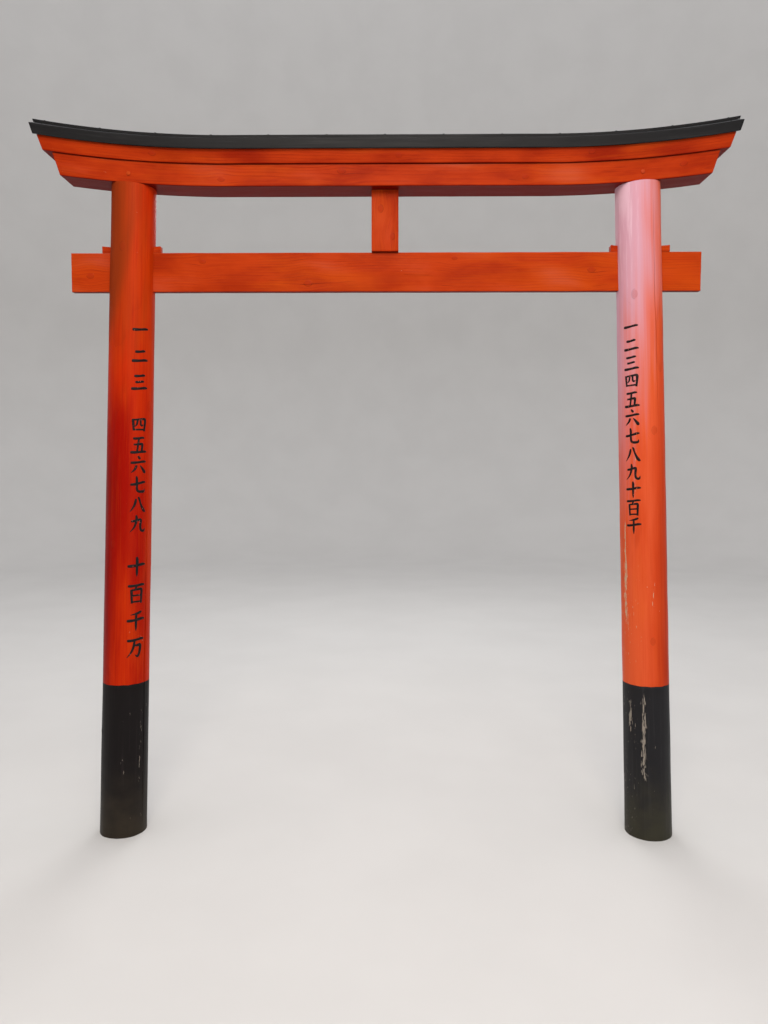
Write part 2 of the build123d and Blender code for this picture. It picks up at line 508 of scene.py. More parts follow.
@dataclass(frozen=True)
class VermilionPaint:
    """Oil-bound vermilion paint, brushed on cedar in several coats.

    The eye gets an opaque orange red that is never quite even: drawn out by the brush, with
    the late wood of the rings just showing, bleached where the weather reaches it, and knocked
    through to the wood where people pass. Painted shade makes it a deep dark red on undersides
    and on the posts' outer sides, and painted light makes it fresher and brighter on the posts'
    inner sides. Typical of such paint: an IOR of 1.5 and a satin roughness. It is old and
    chalked and mirrors next to nothing, so its specular level is far below the default.
    """

    name: str
    fresh: str = "#B8380A"
    deep: str = "#9E2804"
    warm: str = "#C24C08"
    painted_shade: str = "#5E0200"
    bleached: str = "#C66A58"
    chalk: str = "#E6C0CC"
    late_wood: str = "#741606"
    bare_wood: str = "#BFA88A"
    split_wood: str = "#34100A"
    open_wood: str = "#1A0A06"
    knot: str = "#9A260E"
    knot_share: float = 0.4
    ring_spacing: float = 0.010
    ring_share: float = 0.30
    pith: tuple[float, float] = (-0.050, 0.030)
    cloud: tuple[float, float] = (0.32, 0.11)
    brushed: float = 0.30
    veils: float = 0.15
    chalk_share: float = 0.0
    hairlines: float = 0.40
    roughness: float = 0.42
    gloss: float = 0.04
    shift: float = 0.0

    def build(self) -> bpy.types.Material:
        """Builds the material.

        Returns:
            The material, which reads the attributes that a Skin writes.
        """
        material, tree = start_material(self.name)
        share = {
            name: add_node(tree, "ShaderNodeAttribute", {"attribute_name": name}).outputs["Fac"]
            for name in ("check", "weather_and_painted_light", "worn")
        }
        grain = add_node(tree, "ShaderNodeAttribute", {"attribute_name": "grain"}).outputs["Vector"]
        # The brush left streaks 5 mm wide and 250 mm long, over clouds of uneven colour
        clouds = grain_pattern(tree, grain, *self.cloud, self.shift, 4.0)
        glow = grain_pattern(tree, grain, 0.55, 0.16, self.shift + 4.0, 3.0)
        streaks = grain_pattern(tree, grain, 0.25, 0.005, self.shift, 2.0)
        rings, hairlines = self._rings(tree, grain)
        knocked = scraped(tree, grain, share["worn"], self.shift)
        # Rain ran down the paint in veils 16 mm wide and 700 mm long. The veils and the clouds
        # share out how unevenly the weather took, added to the weather attribute, which also carries
        # painted light and painted shade
        unevenness = 0.6
        veils = grain_pattern(tree, grain, 0.70, 0.016, self.shift + 2.0, 2.0)
        veiled = add_node(tree, "ShaderNodeMath", {"operation": "MULTIPLY_ADD"}, {
            0: veils, 1: self.veils, 2: share["weather_and_painted_light"],
        }).outputs[0]
        # This mixes real weathering with painted light, high on the posts' inner sides, and painted
        # shade, low on undersides and the posts' outer sides
        exposure_and_painted_light = add_node(tree, "ShaderNodeMath", {"operation": "MULTIPLY_ADD"}, {
            0: clouds, 1: unevenness - self.veils, 2: veiled,
        }).outputs[0]
        # Where it is bleached most, the paint chalks in flakes 9 mm wide and 120 mm long
        flakes = grain_pattern(tree, grain, 0.12, 0.009, self.shift + 6.0, 4.0)
        chalked = add_node(tree, "ShaderNodeMath", {"operation": "MULTIPLY_ADD"}, {
            0: flakes, 1: 0.9, 2: exposure_and_painted_light,
        }).outputs[0]
        heart, rim = self._knots(tree)
        # Painted light: the tones are fresher and brighter where the weather attribute is high, on
        # tops and on the posts' inner sides
        painted_light_tone = 0.45
        toned, glowing = (
            add_node(tree, "ShaderNodeMath", {"operation": "MULTIPLY_ADD"}, {
                0: share["weather_and_painted_light"], 1: painted_light_tone, 2: pattern,
            }).outputs[0]
            for pattern in (clouds, glow)
        )
        colour = lay_coats(tree, self.deep, (
            Coat(toned, 0.34, 0.66, 1.0, self.fresh),
            Coat(glowing, 0.52, 0.78, 0.45, self.warm),
            Coat(streaks, 0.48, 0.70, self.brushed, self.deep),
            Coat(streaks, 0.46, 0.30, 0.5 * self.brushed, self.warm),
            Coat(rings, 0.0, 1.0, self.ring_share, self.late_wood),
            # Painted shade: a deep dark red laid on undersides and on the posts' outer sides
            Coat(exposure_and_painted_light, 0.20, -0.30, 0.85, self.painted_shade),
            # Bleached and chalked paint where the weather reached it; on the right post this pink is
            # partly painted sky light, on its top and its inner side
            Coat(exposure_and_painted_light, 0.45, 1.25, 0.95, self.bleached),
            Coat(chalked, 1.62, 1.92, self.chalk_share, self.chalk),
            Coat(hairlines, 0.0, 1.0, self.hairlines, self.split_wood),
            Coat(knocked, 0.0, 1.0, 0.85, self.bare_wood),
            Coat(heart, 1.15, 0.85, self.knot_share, self.knot),
            Coat(rim, 0.0, 1.0, 0.8 * self.knot_share, self.split_wood),
            Coat(share["check"], 0.0, 1.0, 1.0, self.open_wood),
        ))
        roughness = add_node(tree, "ShaderNodeMapRange", None, {
            "Value": exposure_and_painted_light,
            "From Min": 0.2,
            "From Max": 1.3,
            "To Min": self.roughness,
            "To Max": self.roughness + 0.30,
        })
        shader = add_node(tree, "ShaderNodeBsdfPrincipled", None, {
            "Base Color": colour,
            "Roughness": roughness.outputs[0],
            "Normal": raise_ridges(tree, (
                Ridge(rings, 0.0006),
                Ridge(streaks, 0.0006),
                Ridge(hairlines, -0.0006, self.hairlines),
            )),
            "IOR": 1.5,
            "Specular IOR Level": self.gloss,
        })
        add_node(tree, "ShaderNodeOutputMaterial", None, {"Surface": shader.outputs["BSDF"]})
        return material

    def _rings(self, tree: Tree, grain: Socket) -> tuple[Socket, Socket]:
        """The rings' late wood, which telegraphs through the paint, and the cracks along it.

        Args:
            tree: The material's node tree.
            grain: Coordinates along, across and into the wood.

        Returns:
            The socket of the late wood and the socket of the cracks, each 1 on a line.
        """
        # The pith wanders by about 12 mm over half a metre, which draws long arcs on the faces
        drift_place = add_node(tree, "ShaderNodeMapping", None, {
            "Vector": grain, "Location": (self.shift, self.shift, 0), "Scale": (1.6, 7.0, 7.0),
        })
        drift = add_node(tree, "ShaderNodeTexNoise", None, {
            "Vector": drift_place.outputs["Vector"], "Scale": 1.0, "Detail": 2.0, "Roughness": 0.4,
        })
        wander = 0.055
        drifted = add_node(tree, "ShaderNodeVectorMath", {"operation": "MULTIPLY_ADD"}, {
            0: drift.outputs["Color"], 1: (0.0, wander, wander), 2: grain,
        })
        from_pith = add_node(tree, "ShaderNodeMapping", None, {
            "Vector": drifted.outputs["Vector"],
            "Location": (0, -self.pith[0] - wander / 2, -self.pith[1] - wander / 2),
        })
        # At a scale of 1, a wave's rings lie this far apart
        spacing_at_one = 0.314
        waves = add_node(tree, "ShaderNodeTexWave", {
            "wave_type": "RINGS", "rings_direction": "X", "wave_profile": "SAW",
        }, {
            "Vector": from_pith.outputs["Vector"],
            "Scale": spacing_at_one / self.ring_spacing,
            "Distortion": 0.6,
            "Detail": 2.0,
            "Detail Scale": 0.4,
        })
        # Late wood is a third of a ring. The cracks are 0.4 mm wide, drawn 2 mm wide to show.
        # Both come and go along the grain, in patches of a length and a width
        fade = 0.16
        drawn = []
        for line_from, length, width, seen_from in (
            (0.66, 0.30, 0.050, 0.40), (0.80, 0.16, 0.014, 0.55),
        ):
            seen = grain_pattern(tree, grain, length, width, self.shift + 20 * line_from)
            line, patch = (
                add_node(tree, "ShaderNodeMapRange", SMOOTHLY, {
                    "Value": pattern, "From Min": low, "From Max": high,
                }).outputs[0]
                for pattern, low, high in (
                    (waves.outputs["Fac"], line_from, 1.0), (seen, seen_from, seen_from + fade),
                )
            )
            shown = add_node(tree, "ShaderNodeMath", {"operation": "MULTIPLY"}, {0: line, 1: patch})
            drawn.append(shown.outputs[0])
        return drawn[0], drawn[1]

    def _knots(self, tree: Tree) -> tuple[Socket, Socket]:
        """Where the knots are, and the crack that opened round the lower side of each.

        Args:
            tree: The material's node tree.

        Returns:
            The socket of the distance in radii, and the socket of the crack.
        """
        knot = add_node(tree, "ShaderNodeAttribute", {"attribute_name": "knot"}).outputs["Vector"]
        distance = add_node(tree, "ShaderNodeVectorMath", {"operation": "LENGTH"}, {0: knot})
        crack_at = 1.15
        off_rim = add_node(tree, "ShaderNodeMath", {"operation": "SUBTRACT"}, {
            0: distance.outputs["Value"], 1: crack_at,
        })
        off_rim = add_node(tree, "ShaderNodeMath", {"operation": "ABSOLUTE"}, {0: off_rim.outputs[0]})
        parts = add_node(tree, "ShaderNodeSeparateXYZ", None, {0: knot})
        on_rim, lower = (
            add_node(tree, "ShaderNodeMapRange", SMOOTHLY, {
                "Value": pattern, "From Min": none_at, "From Max": full_at,
            }).outputs[0]
            for pattern, none_at, full_at in (
                (off_rim.outputs[0], 0.20, 0.04), (parts.outputs["Y"], 0.5, -0.3),
            )
        )
        rim = add_node(tree, "ShaderNodeMath", {"operation": "MULTIPLY"}, {0: on_rim, 1: lower})
        return distance.outputs["Value"], rim.outputs[0]


@dataclass(frozen=True)
class BlackPaint:
    """Matt black paint on cedar, dusty where rain splashes it and chipped where it is knocked.

    The eye gets a soft charcoal that turns grey at grazing angles, with faint streaks along
    the grain. On a foot, brown and green dust rises from the ground. Typical of such paint:
    an IOR of 1.5 and little gloss.
    """

    name: str
    body: str = "#100B0B"
    rubbed: str = "#262020"
    dust: str = "#3A3226"
    chipped: str = "#9B9184"
    open_wood: str = "#060505"
    dust_top: float = 0.34
    dust_foot: float = -0.12
    dust_share: float = 0.75
    roughness: float = 0.46
    gloss: float = 0.16
    shift: float = 0.0

    def build(self) -> bpy.types.Material:
        """Builds the material.

        Returns:
            The material, which reads the attributes that a Skin writes.
        """
        material, tree = start_material(self.name)
        grain = add_node(tree, "ShaderNodeAttribute", {"attribute_name": "grain"}).outputs["Vector"]
        check, worn = (
            add_node(tree, "ShaderNodeAttribute", {"attribute_name": name}).outputs["Fac"]
            for name in ("check", "worn")
        )
        # Wear runs along the grain in streaks 12 mm wide
        streaks = grain_pattern(tree, grain, 0.40, 0.012, self.shift, 5.0)
        chipped = scraped(tree, grain, worn, self.shift)
        # Dust thins out with height and lies in patches about 70 mm wide
        patchiness = 0.35
        place = add_node(tree, "ShaderNodeTexCoord").outputs["Object"]
        height = add_node(tree, "ShaderNodeSeparateXYZ", None, {0: place})
        patches = add_node(tree, "ShaderNodeTexNoise", None, {
            "Vector": place, "Scale": 14.0, "Detail": 6.0, "Roughness": 0.62,
        })
        settled = add_node(tree, "ShaderNodeMath", {"operation": "MULTIPLY_ADD"}, {
            0: patches.outputs[0], 1: -patchiness, 2: height.outputs["Z"],
        })
        colour = lay_coats(tree, self.body, (
            Coat(streaks, 0.50, 0.75, 0.7, self.rubbed),
            Coat(settled.outputs[0], self.dust_top - patchiness / 2,
                 self.dust_foot - patchiness / 2, self.dust_share, self.dust),
            Coat(chipped, 0.0, 1.0, 0.8, self.chipped),
            Coat(check, 0.0, 1.0, 1.0, self.open_wood),
        ))
        roughness = add_node(tree, "ShaderNodeMapRange", None, {
            "Value": streaks,
            "From Min": 0.3,
            "From Max": 0.8,
            "To Min": self.roughness - 0.06,
            "To Max": self.roughness + 0.22,
        })
        # The fibres are a tenth of a millimetre wide, drawn 3 mm wide to show
        fibres = grain_pattern(tree, grain, 0.08, 0.003, self.shift, 3.0)
        shader = add_node(tree, "ShaderNodeBsdfPrincipled", None, {
            "Base Color": colour,
            "Roughness": roughness.outputs[0],
            "Normal": raise_ridges(tree, (Ridge(fibres, 0.0006), Ridge(streaks, 0.0008))),
            "IOR": 1.5,
            "Specular IOR Level": self.gloss,
        })
        add_node(tree, "ShaderNodeOutputMaterial", None, {"Surface": shader.outputs["BSDF"]})
        return material


@dataclass(frozen=True)
class InkLacquer:
    """Black lacquer laid on with a brush in one film.

    The eye gets nearly black strokes, thinner and browner where the brush ran dry, and
    glossier than the paint under them. Typical of lacquer: an IOR of 1.52.
    """

    name: str = "black_lacquer_ink"
    body: str = "#0D0A0B"
    thin: str = "#2E201D"
    chipped: str = "#B5604A"
    wet_roughness: float = 0.36
    dry_roughness: float = 0.60
    gloss: float = 0.20

    def build(self) -> bpy.types.Material:
        """Builds the material.

        Returns:
            The material.
        """
        material, tree = start_material(self.name)
        place = add_node(tree, "ShaderNodeTexCoord")
        # The film is thinner in patches 2.4 mm wide and 8 mm long, where the brush ran dry
        stretch = add_node(tree, "ShaderNodeMapping", None, {
            "Vector": place.outputs["Object"], "Scale": (420.0, 420.0, 120.0),
        })
        film = add_node(tree, "ShaderNodeTexNoise", None, {
            "Vector": stretch.outputs["Vector"], "Scale": 1.0, "Detail": 3.0,
        }).outputs[0]
        # The lacquer has flaked off in spots 4 mm wide and 14 mm long
        spots = add_node(tree, "ShaderNodeTexNoise", None, {
            "Vector": stretch.outputs["Vector"], "Scale": 0.6, "Detail": 1.0,
        }).outputs[0]
        roughness = add_node(tree, "ShaderNodeMapRange", None, {
            "Value": film, "To Min": self.wet_roughness, "To Max": self.dry_roughness,
        })
        shader = add_node(tree, "ShaderNodeBsdfPrincipled", None, {
            "Base Color": lay_coats(tree, self.body, (
                Coat(film, 0.52, 0.80, 1.0, self.thin),
                Coat(spots, 0.70, 0.73, 0.8, self.chipped),
            )),
            "Roughness": roughness.outputs[0],
            "Normal": raise_ridges(tree, (Ridge(film, 0.0003, 0.4),)),
            "IOR": 1.52,
            "Specular IOR Level": self.gloss,
        })
        add_node(tree, "ShaderNodeOutputMaterial", None, {"Surface": shader.outputs["BSDF"]})
        return material


@dataclass(frozen=True)
class PaleFloor:
    """A painted studio floor: matt, nearly white, with a breath of unevenness."""

    name: str = "pale_studio_floor"
    body: str = "#CAC8C5"
    patch: str = "#CDCBC8"
    roughness: float = 0.85

    def build(self) -> bpy.types.Material:
        """Builds the material.

        Returns:
            The material.
        """
        material, tree = start_material(self.name)
        place = add_node(tree, "ShaderNodeTexCoord")
        # The patches are about 0.7 m wide
        patches = add_node(tree, "ShaderNodeTexNoise", None, {
            "Vector": place.outputs["Object"], "Scale": 1.5, "Detail": 3.0,
        }).outputs[0]
        shader = add_node(tree, "ShaderNodeBsdfPrincipled", None, {
            "Base Color": lay_coats(tree, self.body, (Coat(patches, 0.3, 0.7, 1.0, self.patch),)),
            "Roughness": self.roughness,
        })
        add_node(tree, "ShaderNodeOutputMaterial", None, {"Surface": shader.outputs["BSDF"]})
        return material


class Finishes:
    """Every material of the gate, built once."""

    def __init__(self) -> None:
        """Builds the materials, with the tones that tell one timber from the next."""
        log_paint: dict[str, float | tuple[float, float]] = {
            "ring_spacing": 0.014, "ring_share": 0.12, "pith": (0.0, 0.0), "hairlines": 0.0,
            "cloud": (1.1, 0.12), "veils": 0.45, "knot_share": 0.22, "roughness": 0.36,
            "gloss": 0.06,
        }
        # The left post's bleached colour is a dark brown, which darkens its top, most on its outer
        # side
        self.left_post = VermilionPaint(
            "vermilion_paint_left_log", fresh="#BE2A03", deep="#9A0E02", warm="#C84208",
            bleached="#88300A", painted_shade="#6A0402", shift=3.1, **log_paint,
        ).build()
        self.right_post = VermilionPaint(
            "vermilion_paint_right_log", fresh="#DA5830", deep="#CC441C", warm="#D85C24",
            bleached="#CE9EAE", painted_shade="#9A1E04", chalk_share=0.55, shift=7.7, **log_paint,
        ).build()
        self.beam = VermilionPaint(
            "vermilion_paint_tie_beam", fresh="#B5380A", deep="#9C2804", pith=(-0.022, 0.085),
            ring_share=0.24, hairlines=0.55, shift=1.3,
        ).build()
        self.lintel = VermilionPaint(
            "vermilion_paint_lintels", fresh="#B0340A", deep="#902004", shift=5.2,
        ).build()
        self.joinery = VermilionPaint(
            "vermilion_paint_joinery", fresh="#B2340A", deep="#8E2004", ring_spacing=0.007,
            shift=2.4,
        ).build()
        self.left_foot = BlackPaint("black_paint_left_foot").build()
        # Painted light: the right foot's black is a lighter, greyer copy of the left foot's, as that
        # foot faces the light
        self.right_foot = BlackPaint(
            "black_paint_right_foot", body="#1E1D1F", rubbed="#333234", dust="#3F3C2C", shift=6.0,
        ).build()
        self.roof = BlackPaint(
            "black_paint_roof", body="#131213", rubbed="#302F30", dust_share=0.0, shift=4.0,
        ).build()
        self.ink = InkLacquer().build()


@dataclass(frozen=True)
class Camber:
    """The curve that the lintels and the boards share: straight, then up at both ends."""

    centre_x: float
    seat: float
    start: float = 0.600
    reach: float = 1.350
    rise: float = 0.060
    rake: float = math.radians(18)

    @property
    def radius(self) -> float:
        """Radius of the curve at the seat's level."""
        run = self.reach - self.start
        return (run ** 2 + self.rise ** 2) / (2 * self.rise)

    def level(self, x: float) -> float:
        """Height of the seat at an x."""
        past = max(abs(x - self.centre_x) - self.start, 0.0)
        return self.seat + self.radius - math.sqrt(self.radius ** 2 - past ** 2)

    def slope(self, x: float) -> float:
        """Rise of the seat for each unit of x."""
        past = max(abs(x - self.centre_x) - self.start, 0.0)
        return math.copysign(past / math.sqrt(self.radius ** 2 - past ** 2), x - self.centre_x)

    def place(self, share: np.ndarray, height: np.ndarray,
              reach: float) -> tuple[np.ndarray, np.ndarray]:
        """Where a point of a straight bar goes once the bar is bent and its ends are raked.

        Args:
            share: Place along the bar, from -1 at the left end to 1 at the right end.
            height: Height above the seat.
            reach: From the gate's centre to the bar's end, along the seat's level.

        Returns:
            The x and the z of each point.
        """
        inner = self.radius - height
        end = (reach - self.start) * math.cos(self.rake) + self.radius * math.sin(self.rake)
        end_turn = np.arcsin(end / inner) - self.rake
        run = np.abs(share) * (self.start + self.radius * end_turn)
        turn = np.maximum(run - self.start, 0) / self.radius
        x = np.minimum(run, self.start) + inner * np.sin(turn)
        z = self.seat + self.radius - inner * np.cos(turn)
        return self.centre_x + np.sign(share) * x, z


@dataclass
class SawnTimber:
    """A planed bar of any section, with eased arrises, a little waviness, and knots.

    It is made straight along X about the origin, in the grain's own coordinates, and then
    moved or bent to its place. Planed_off is in multiples of its waviness.
    """

    name: str
    node: str
    section: Section
    half_length: float
    slot: str = VERMILION
    grain: Grain = Grain.ALONG_BEAM
    arris: float = 0.0020
    step_along: float = 0.006
    step_across: float = 0.005
    waviness: float = 0.00030
    wave_lengths: tuple[float, float, float] = (0.35, 0.08, 0.08)
    planed_off: float = 1.7
    end_margin: float = 0.002
    knots: tuple[Knot, ...] = ()
    weather_and_painted_light: float = 0.15
    top_bleach: float = 0.45
    underside_shade: float = 0.80
    patchiness: float = 0.14
    patch_lengths: tuple[float, float, float] = (0.45, 0.3, 0.3)
    seed: int = 1

    def straight_shape(self) -> bmesh.types.BMesh:
        """Extrudes the section, eases its edges and divides its faces evenly.

        Returns:
            The bmesh of the straight bar.
        """
        corners = [(-self.half_length, y, z) for y, z in self.section]
        shape = extrude_outline(corners, (2 * self.half_length, 0, 0))
        ease_edges(shape, shape.edges[:], self.arris, segments=2)
        self._divide(shape, self.step_along, lambda way: abs(way.x) > 0.99)
        self._divide(shape, self.step_across, lambda way: abs(way.x) < 0.01)
        return shape

    def _divide(self, shape: bmesh.types.BMesh, step: float, chosen: Callable[[Vector], bool]) -> None:
        """Divides the edges of a chosen direction into even steps.

        Args:
            shape: The bmesh.
            step: The length of a step.
            chosen: Takes an edge's unit direction and says whether the edge is divided.
        """
        by_steps: dict[int, list[bmesh.types.BMEdge]] = {}
        for edge in shape.edges:
            way = edge.verts[1].co - edge.verts[0].co
            if way.length > 2 * step and chosen(way.normalized()):
                by_steps.setdefault(round(way.length / step), []).append(edge)
        for steps, edges in by_steps.items():
            bmesh.ops.subdivide_edges(shape, edges=edges, cuts=steps - 1, use_grid_fill=True)

    def wear(self, skin: Skin) -> None:
        """Gives the straight bar its waviness, its knots, its weathering and its painted underside
        shade.

        Args:
            skin: The bar's skin.
        """
        # The plane took wood off, so no point stands outside the sawn size
        waves = ripple(skin.points, self.wave_lengths, self.seed)
        swell = self.waviness * (waves - self.planed_off)
        off_ends = np.abs(skin.points[:, 0]) < self.half_length - self.end_margin
        on_face = np.abs(skin.normals[:, 1]) * off_ends
        for knot in self.knots:
            swell += skin.bend_round(knot) * on_face
        upward = skin.normals[:, self.grain.value]
        patches = ripple(skin.points, self.patch_lengths, self.seed + 50)
        # Tops bleach in the weather; undersides get painted shade, a deep dark red
        tilted = upward * np.where(upward > 0, self.top_bleach, self.underside_shade)
        skin.weather_and_painted_light = self.weather_and_painted_light + tilted + self.patchiness * patches
        skin.points += skin.normals * swell[:, None]

    def settle(self, skin: Skin) -> None:
        """Moves the straight bar to its place. A plain bar stays where it is.

        Args:
            skin: The bar's skin, not used here.
        """

    def build(self, finish: bpy.types.Material) -> bpy.types.Object:
        """Builds the piece.

        Args:
            finish: Its material.

        Returns:
            The piece.
        """
        mesh = finish_mesh(self.straight_shape(), self.name)
        skin = Skin(mesh)
        self.wear(skin)
        self.settle(skin)
        skin.store()
        mesh.materials.append(finish)
        return add_piece(self.name, mesh, self.node)


def rectangle(depth: float, low: float, high: float) -> Section:
    """A rectangular section as (y, z) corners, from a low to a high z."""
    y = depth / 2
    return ((-y, low), (y, low), (y, high), (-y, high))


@dataclass
class StraightTimber(SawnTimber):
    """A bar that keeps straight, with its centre at a point."""

    centre: Vector = field(kw_only=True)

    def settle(self, skin: Skin) -> None:
        """Turns the bar upright where its grain runs so, and moves it to its centre.

        Args:
            skin: The bar's skin.
        """
        if self.grain is Grain.UPRIGHT:
            skin.points = skin.points[:, [2, 1, 0]] * np.array([-1, 1, 1])
        skin.points += np.array(self.centre)


@dataclass
class CamberedTimber(SawnTimber):
    """A bar that is bent to the gate's camber, with raked ends.

    The z of its section is the height above the seat, and half its length is its reach.
    """

    camber: Camber = field(kw_only=True)

    def settle(self, skin: Skin) -> None:
        """Bends the bar.

        Args:
            skin: The bar's skin.
        """
        share = skin.points[:, 0] / self.half_length
        skin.points[:, 0], skin.points[:, 2] = self.camber.place(
            share, skin.points[:, 2], self.half_length
        )


@dataclass(frozen=True)
class WedgedMortise:
    """The hole for the tie beam, whose roof flares outward on both sides for the wedges.

    The roof is flat for a little each side of the log's axis, and the wedges' tips end there.
    """

    low: float
    high: float
    width: float
    flat: float = 0.004
    reach: float = 0.160
    wedge_tip: float = 0.016
    wedge_slope: float = 1 / 12

    def space(self, axis_x: float) -> bpy.types.Object:
        """The space of the hole.

        Args:
            axis_x: The x of the log's axis there.

        Returns:
            An object for the Boolean modifier, which is removed after the cut.
        """
        roof = self.high + self.wedge_tip
        outer = roof + self.wedge_slope * (self.reach - self.flat)
        outline = (
            (-self.reach, self.low), (self.reach, self.low), (self.reach, outer),
            (self.flat, roof), (-self.flat, roof), (-self.reach, outer),
        )
        corners = [(axis_x + x, -self.width / 2, z) for x, z in outline]
        shape = extrude_outline(corners, (0, self.width, 0))
        space = bpy.data.objects.new("mortise_space", finish_mesh(shape, "mortise_space"))
        bpy.context.scene.collection.objects.link(space)
        return space


@dataclass
class RoundPost:
    """A leaning log that tapers upward, with a black foot and a mortise for the tie beam.

    It is spun too long, by trim at its top and by below under the ground, and then cut. The
    inset keeps its swells and knots inside the solid's outline. Weather bleaches it from
    bleach_low up to bleach_high. Above zero, bleach_and_light_lopsided moves the bleached colour
    towards its inner side as painted light, and below zero towards its outer side. Side_shade paints
    shade on its outer side and light on its inner side. Knocks are full below knocks_full and
    end at knocks_high.
    """

    side: Side
    foot_x: float
    foot_radius: float
    camber: Camber
    mortise: WedgedMortise
    lean: float = 0.037
    top_radius: float = 0.0855
    paint_line: float = 0.620
    columns: int = 168
    row: float = 0.0066
    trim: float = 0.040
    below: float = 0.020
    inset: float = 0.0011
    swell: float = 0.0008
    swell_lengths: tuple[float, float, float] = (1.3, 1.3, 0.7)
    line_wave: float = 0.0007
    knots: tuple[Knot, ...] = ()
    checks: tuple[DryingCheck, ...] = ()
    scuffs: tuple[Scuff, ...] = ()
    bleach: float = 0.5
    bleach_low: float = 1.0
    bleach_high: float = 2.4
    bleach_and_light_lopsided: float = 0.2
    side_shade: float = 0.32
    patchiness: float = 0.12
    patch_lengths: tuple[float, float, float] = (0.6, 0.16, 0.16)
    knocks: float = 0.5
    knocks_high: float = 1.50
    knocks_full: float = 0.95
    seed: int = 1

    @property
    def tilt(self) -> float:
        """The angle of the lean about Y."""
        return self.side.value * math.atan(self.lean)

    @property
    def length(self) -> float:
        """Length of the log from the ground to a little past the lintel's seat."""
        return (self.camber.seat + self.trim) / math.cos(self.tilt)

    def axis_x(self, height: float) -> float:
        """The x of the log's axis at a height."""
        return self.foot_x + self.side.value * self.lean * height

    def radius_at(self, along: np.ndarray) -> np.ndarray:
        """Radius of the plain taper at a distance along the log."""
        return self.foot_radius + (self.top_radius - self.foot_radius) * along / self.length

    def waviness(self, angle: np.ndarray, along: np.ndarray) -> np.ndarray:
        """How far the surface stands off the plain taper, but for knots and checks.

        Args:
            angle: The way round, 0 towards +X.
            along: The distance along the log.

        Returns:
            The lift of each point.
        """
        round_it = np.column_stack((np.cos(angle), np.sin(angle), along))
        return self.swell * ripple(round_it, self.swell_lengths, self.seed) - self.inset

    def to_gate(self, angle: np.ndarray, along: np.ndarray, radius: np.ndarray) -> np.ndarray:
        """Turns a place on the log into a point of the gate.

        Args:
            angle: The way round, 0 towards +X.
            along: The distance along the log.
            radius: The distance from the log's axis.

        Returns:
            One row of x, y and z for each point.
        """
        upright = np.column_stack((radius * np.cos(angle), radius * np.sin(angle), along))
        return upright @ np.array(Matrix.Rotation(self.tilt, 3, "Y")).T + (self.foot_x, 0, 0)

    def on_log(self, points: np.ndarray) -> tuple[np.ndarray, np.ndarray, np.ndarray]:
        """Turns points of the gate into places on the log.

        Args:
            points: One row of x, y and z for each point.

        Returns:
            The way round, the distance along the log and the distance from its axis.
        """
        upright = (points - (self.foot_x, 0, 0)) @ np.array(Matrix.Rotation(self.tilt, 3, "Y"))
        radius = np.hypot(upright[:, 0], upright[:, 1])
        return np.arctan2(upright[:, 1], upright[:, 0]), upright[:, 2], radius

    def log_shape(self) -> bmesh.types.BMesh:
        """Spins the log, leans it, and cuts it level at the ground and to the lintel's seat.

        Returns:
            The bmesh, in place.
        """
        shape = bmesh.new()
        foot = shape.verts.new((self.radius_at(-self.below), 0, -self.below))
        top = shape.verts.new((self.top_radius, 0, self.length))
        side_line = shape.edges.new((foot, top))
        rows = round((self.length + self.below) / self.row)
        bmesh.ops.subdivide_edges(shape, edges=[side_line], cuts=rows - 1)
        bmesh.ops.spin(
            shape, geom=shape.verts[:] + shape.edges[:], cent=(0, 0, 0), axis=(0, 0, 1),
            angle=2 * math.pi, steps=self.columns, use_merge=True, use_duplicate=False,
        )
        bmesh.ops.remove_doubles(shape, verts=shape.verts[:], dist=1e-5)
        bmesh.ops.rotate(
            shape, verts=shape.verts[:], cent=(0, 0, 0), matrix=Matrix.Rotation(self.tilt, 3, "Y")
        )
        bmesh.ops.translate(shape, verts=shape.verts[:], vec=(self.foot_x, 0, 0))
        seat_x = self.axis_x(self.camber.seat)
        cuts = (
            ((0, 0, 0), (0, 0, -1)),
            ((seat_x, 0, self.camber.level(seat_x)), (-self.camber.slope(seat_x), 0, 1)),
        )
        for point, normal in cuts:
            cut = bmesh.ops.bisect_plane(
                shape, geom=shape.verts[:] + shape.edges[:] + shape.faces[:],
                plane_co=point, plane_no=normal, clear_outer=True,
            )
            rim = [item for item in cut["geom_cut"] if isinstance(item, bmesh.types.BMEdge)]
            bmesh.ops.contextual_create(shape, geom=rim)
        bmesh.ops.recalc_face_normals(shape, faces=shape.faces[:])
        return shape

    def cut_mortise(self, mesh: bpy.types.Mesh) -> bpy.types.Mesh:
        """Cuts the mortise through the log.

        Args:
            mesh: The log's mesh.

        Returns:
            The mesh with its mortise.
        """
        blank = bpy.data.objects.new("log_blank", mesh)
        bpy.context.scene.collection.objects.link(blank)
        space = self.mortise.space(self.axis_x((self.mortise.low + self.mortise.high) / 2))
        cut = blank.modifiers.new("mortise", "BOOLEAN")
        cut.operation = "DIFFERENCE"
        cut.solver = "EXACT"
        cut.object = space
        graph = bpy.context.evaluated_depsgraph_get()
        made = bpy.data.meshes.new_from_object(blank.evaluated_get(graph))
        bpy.data.objects.remove(blank)
        bpy.data.objects.remove(space)
        return made

    def wear(self, skin: Skin) -> None:
        """Gives the log its waviness, knots, drying checks and the wave of its paint line.

        Args:
            skin: The log's skin.
        """
        angle, along, radius = self.on_log(skin.points)
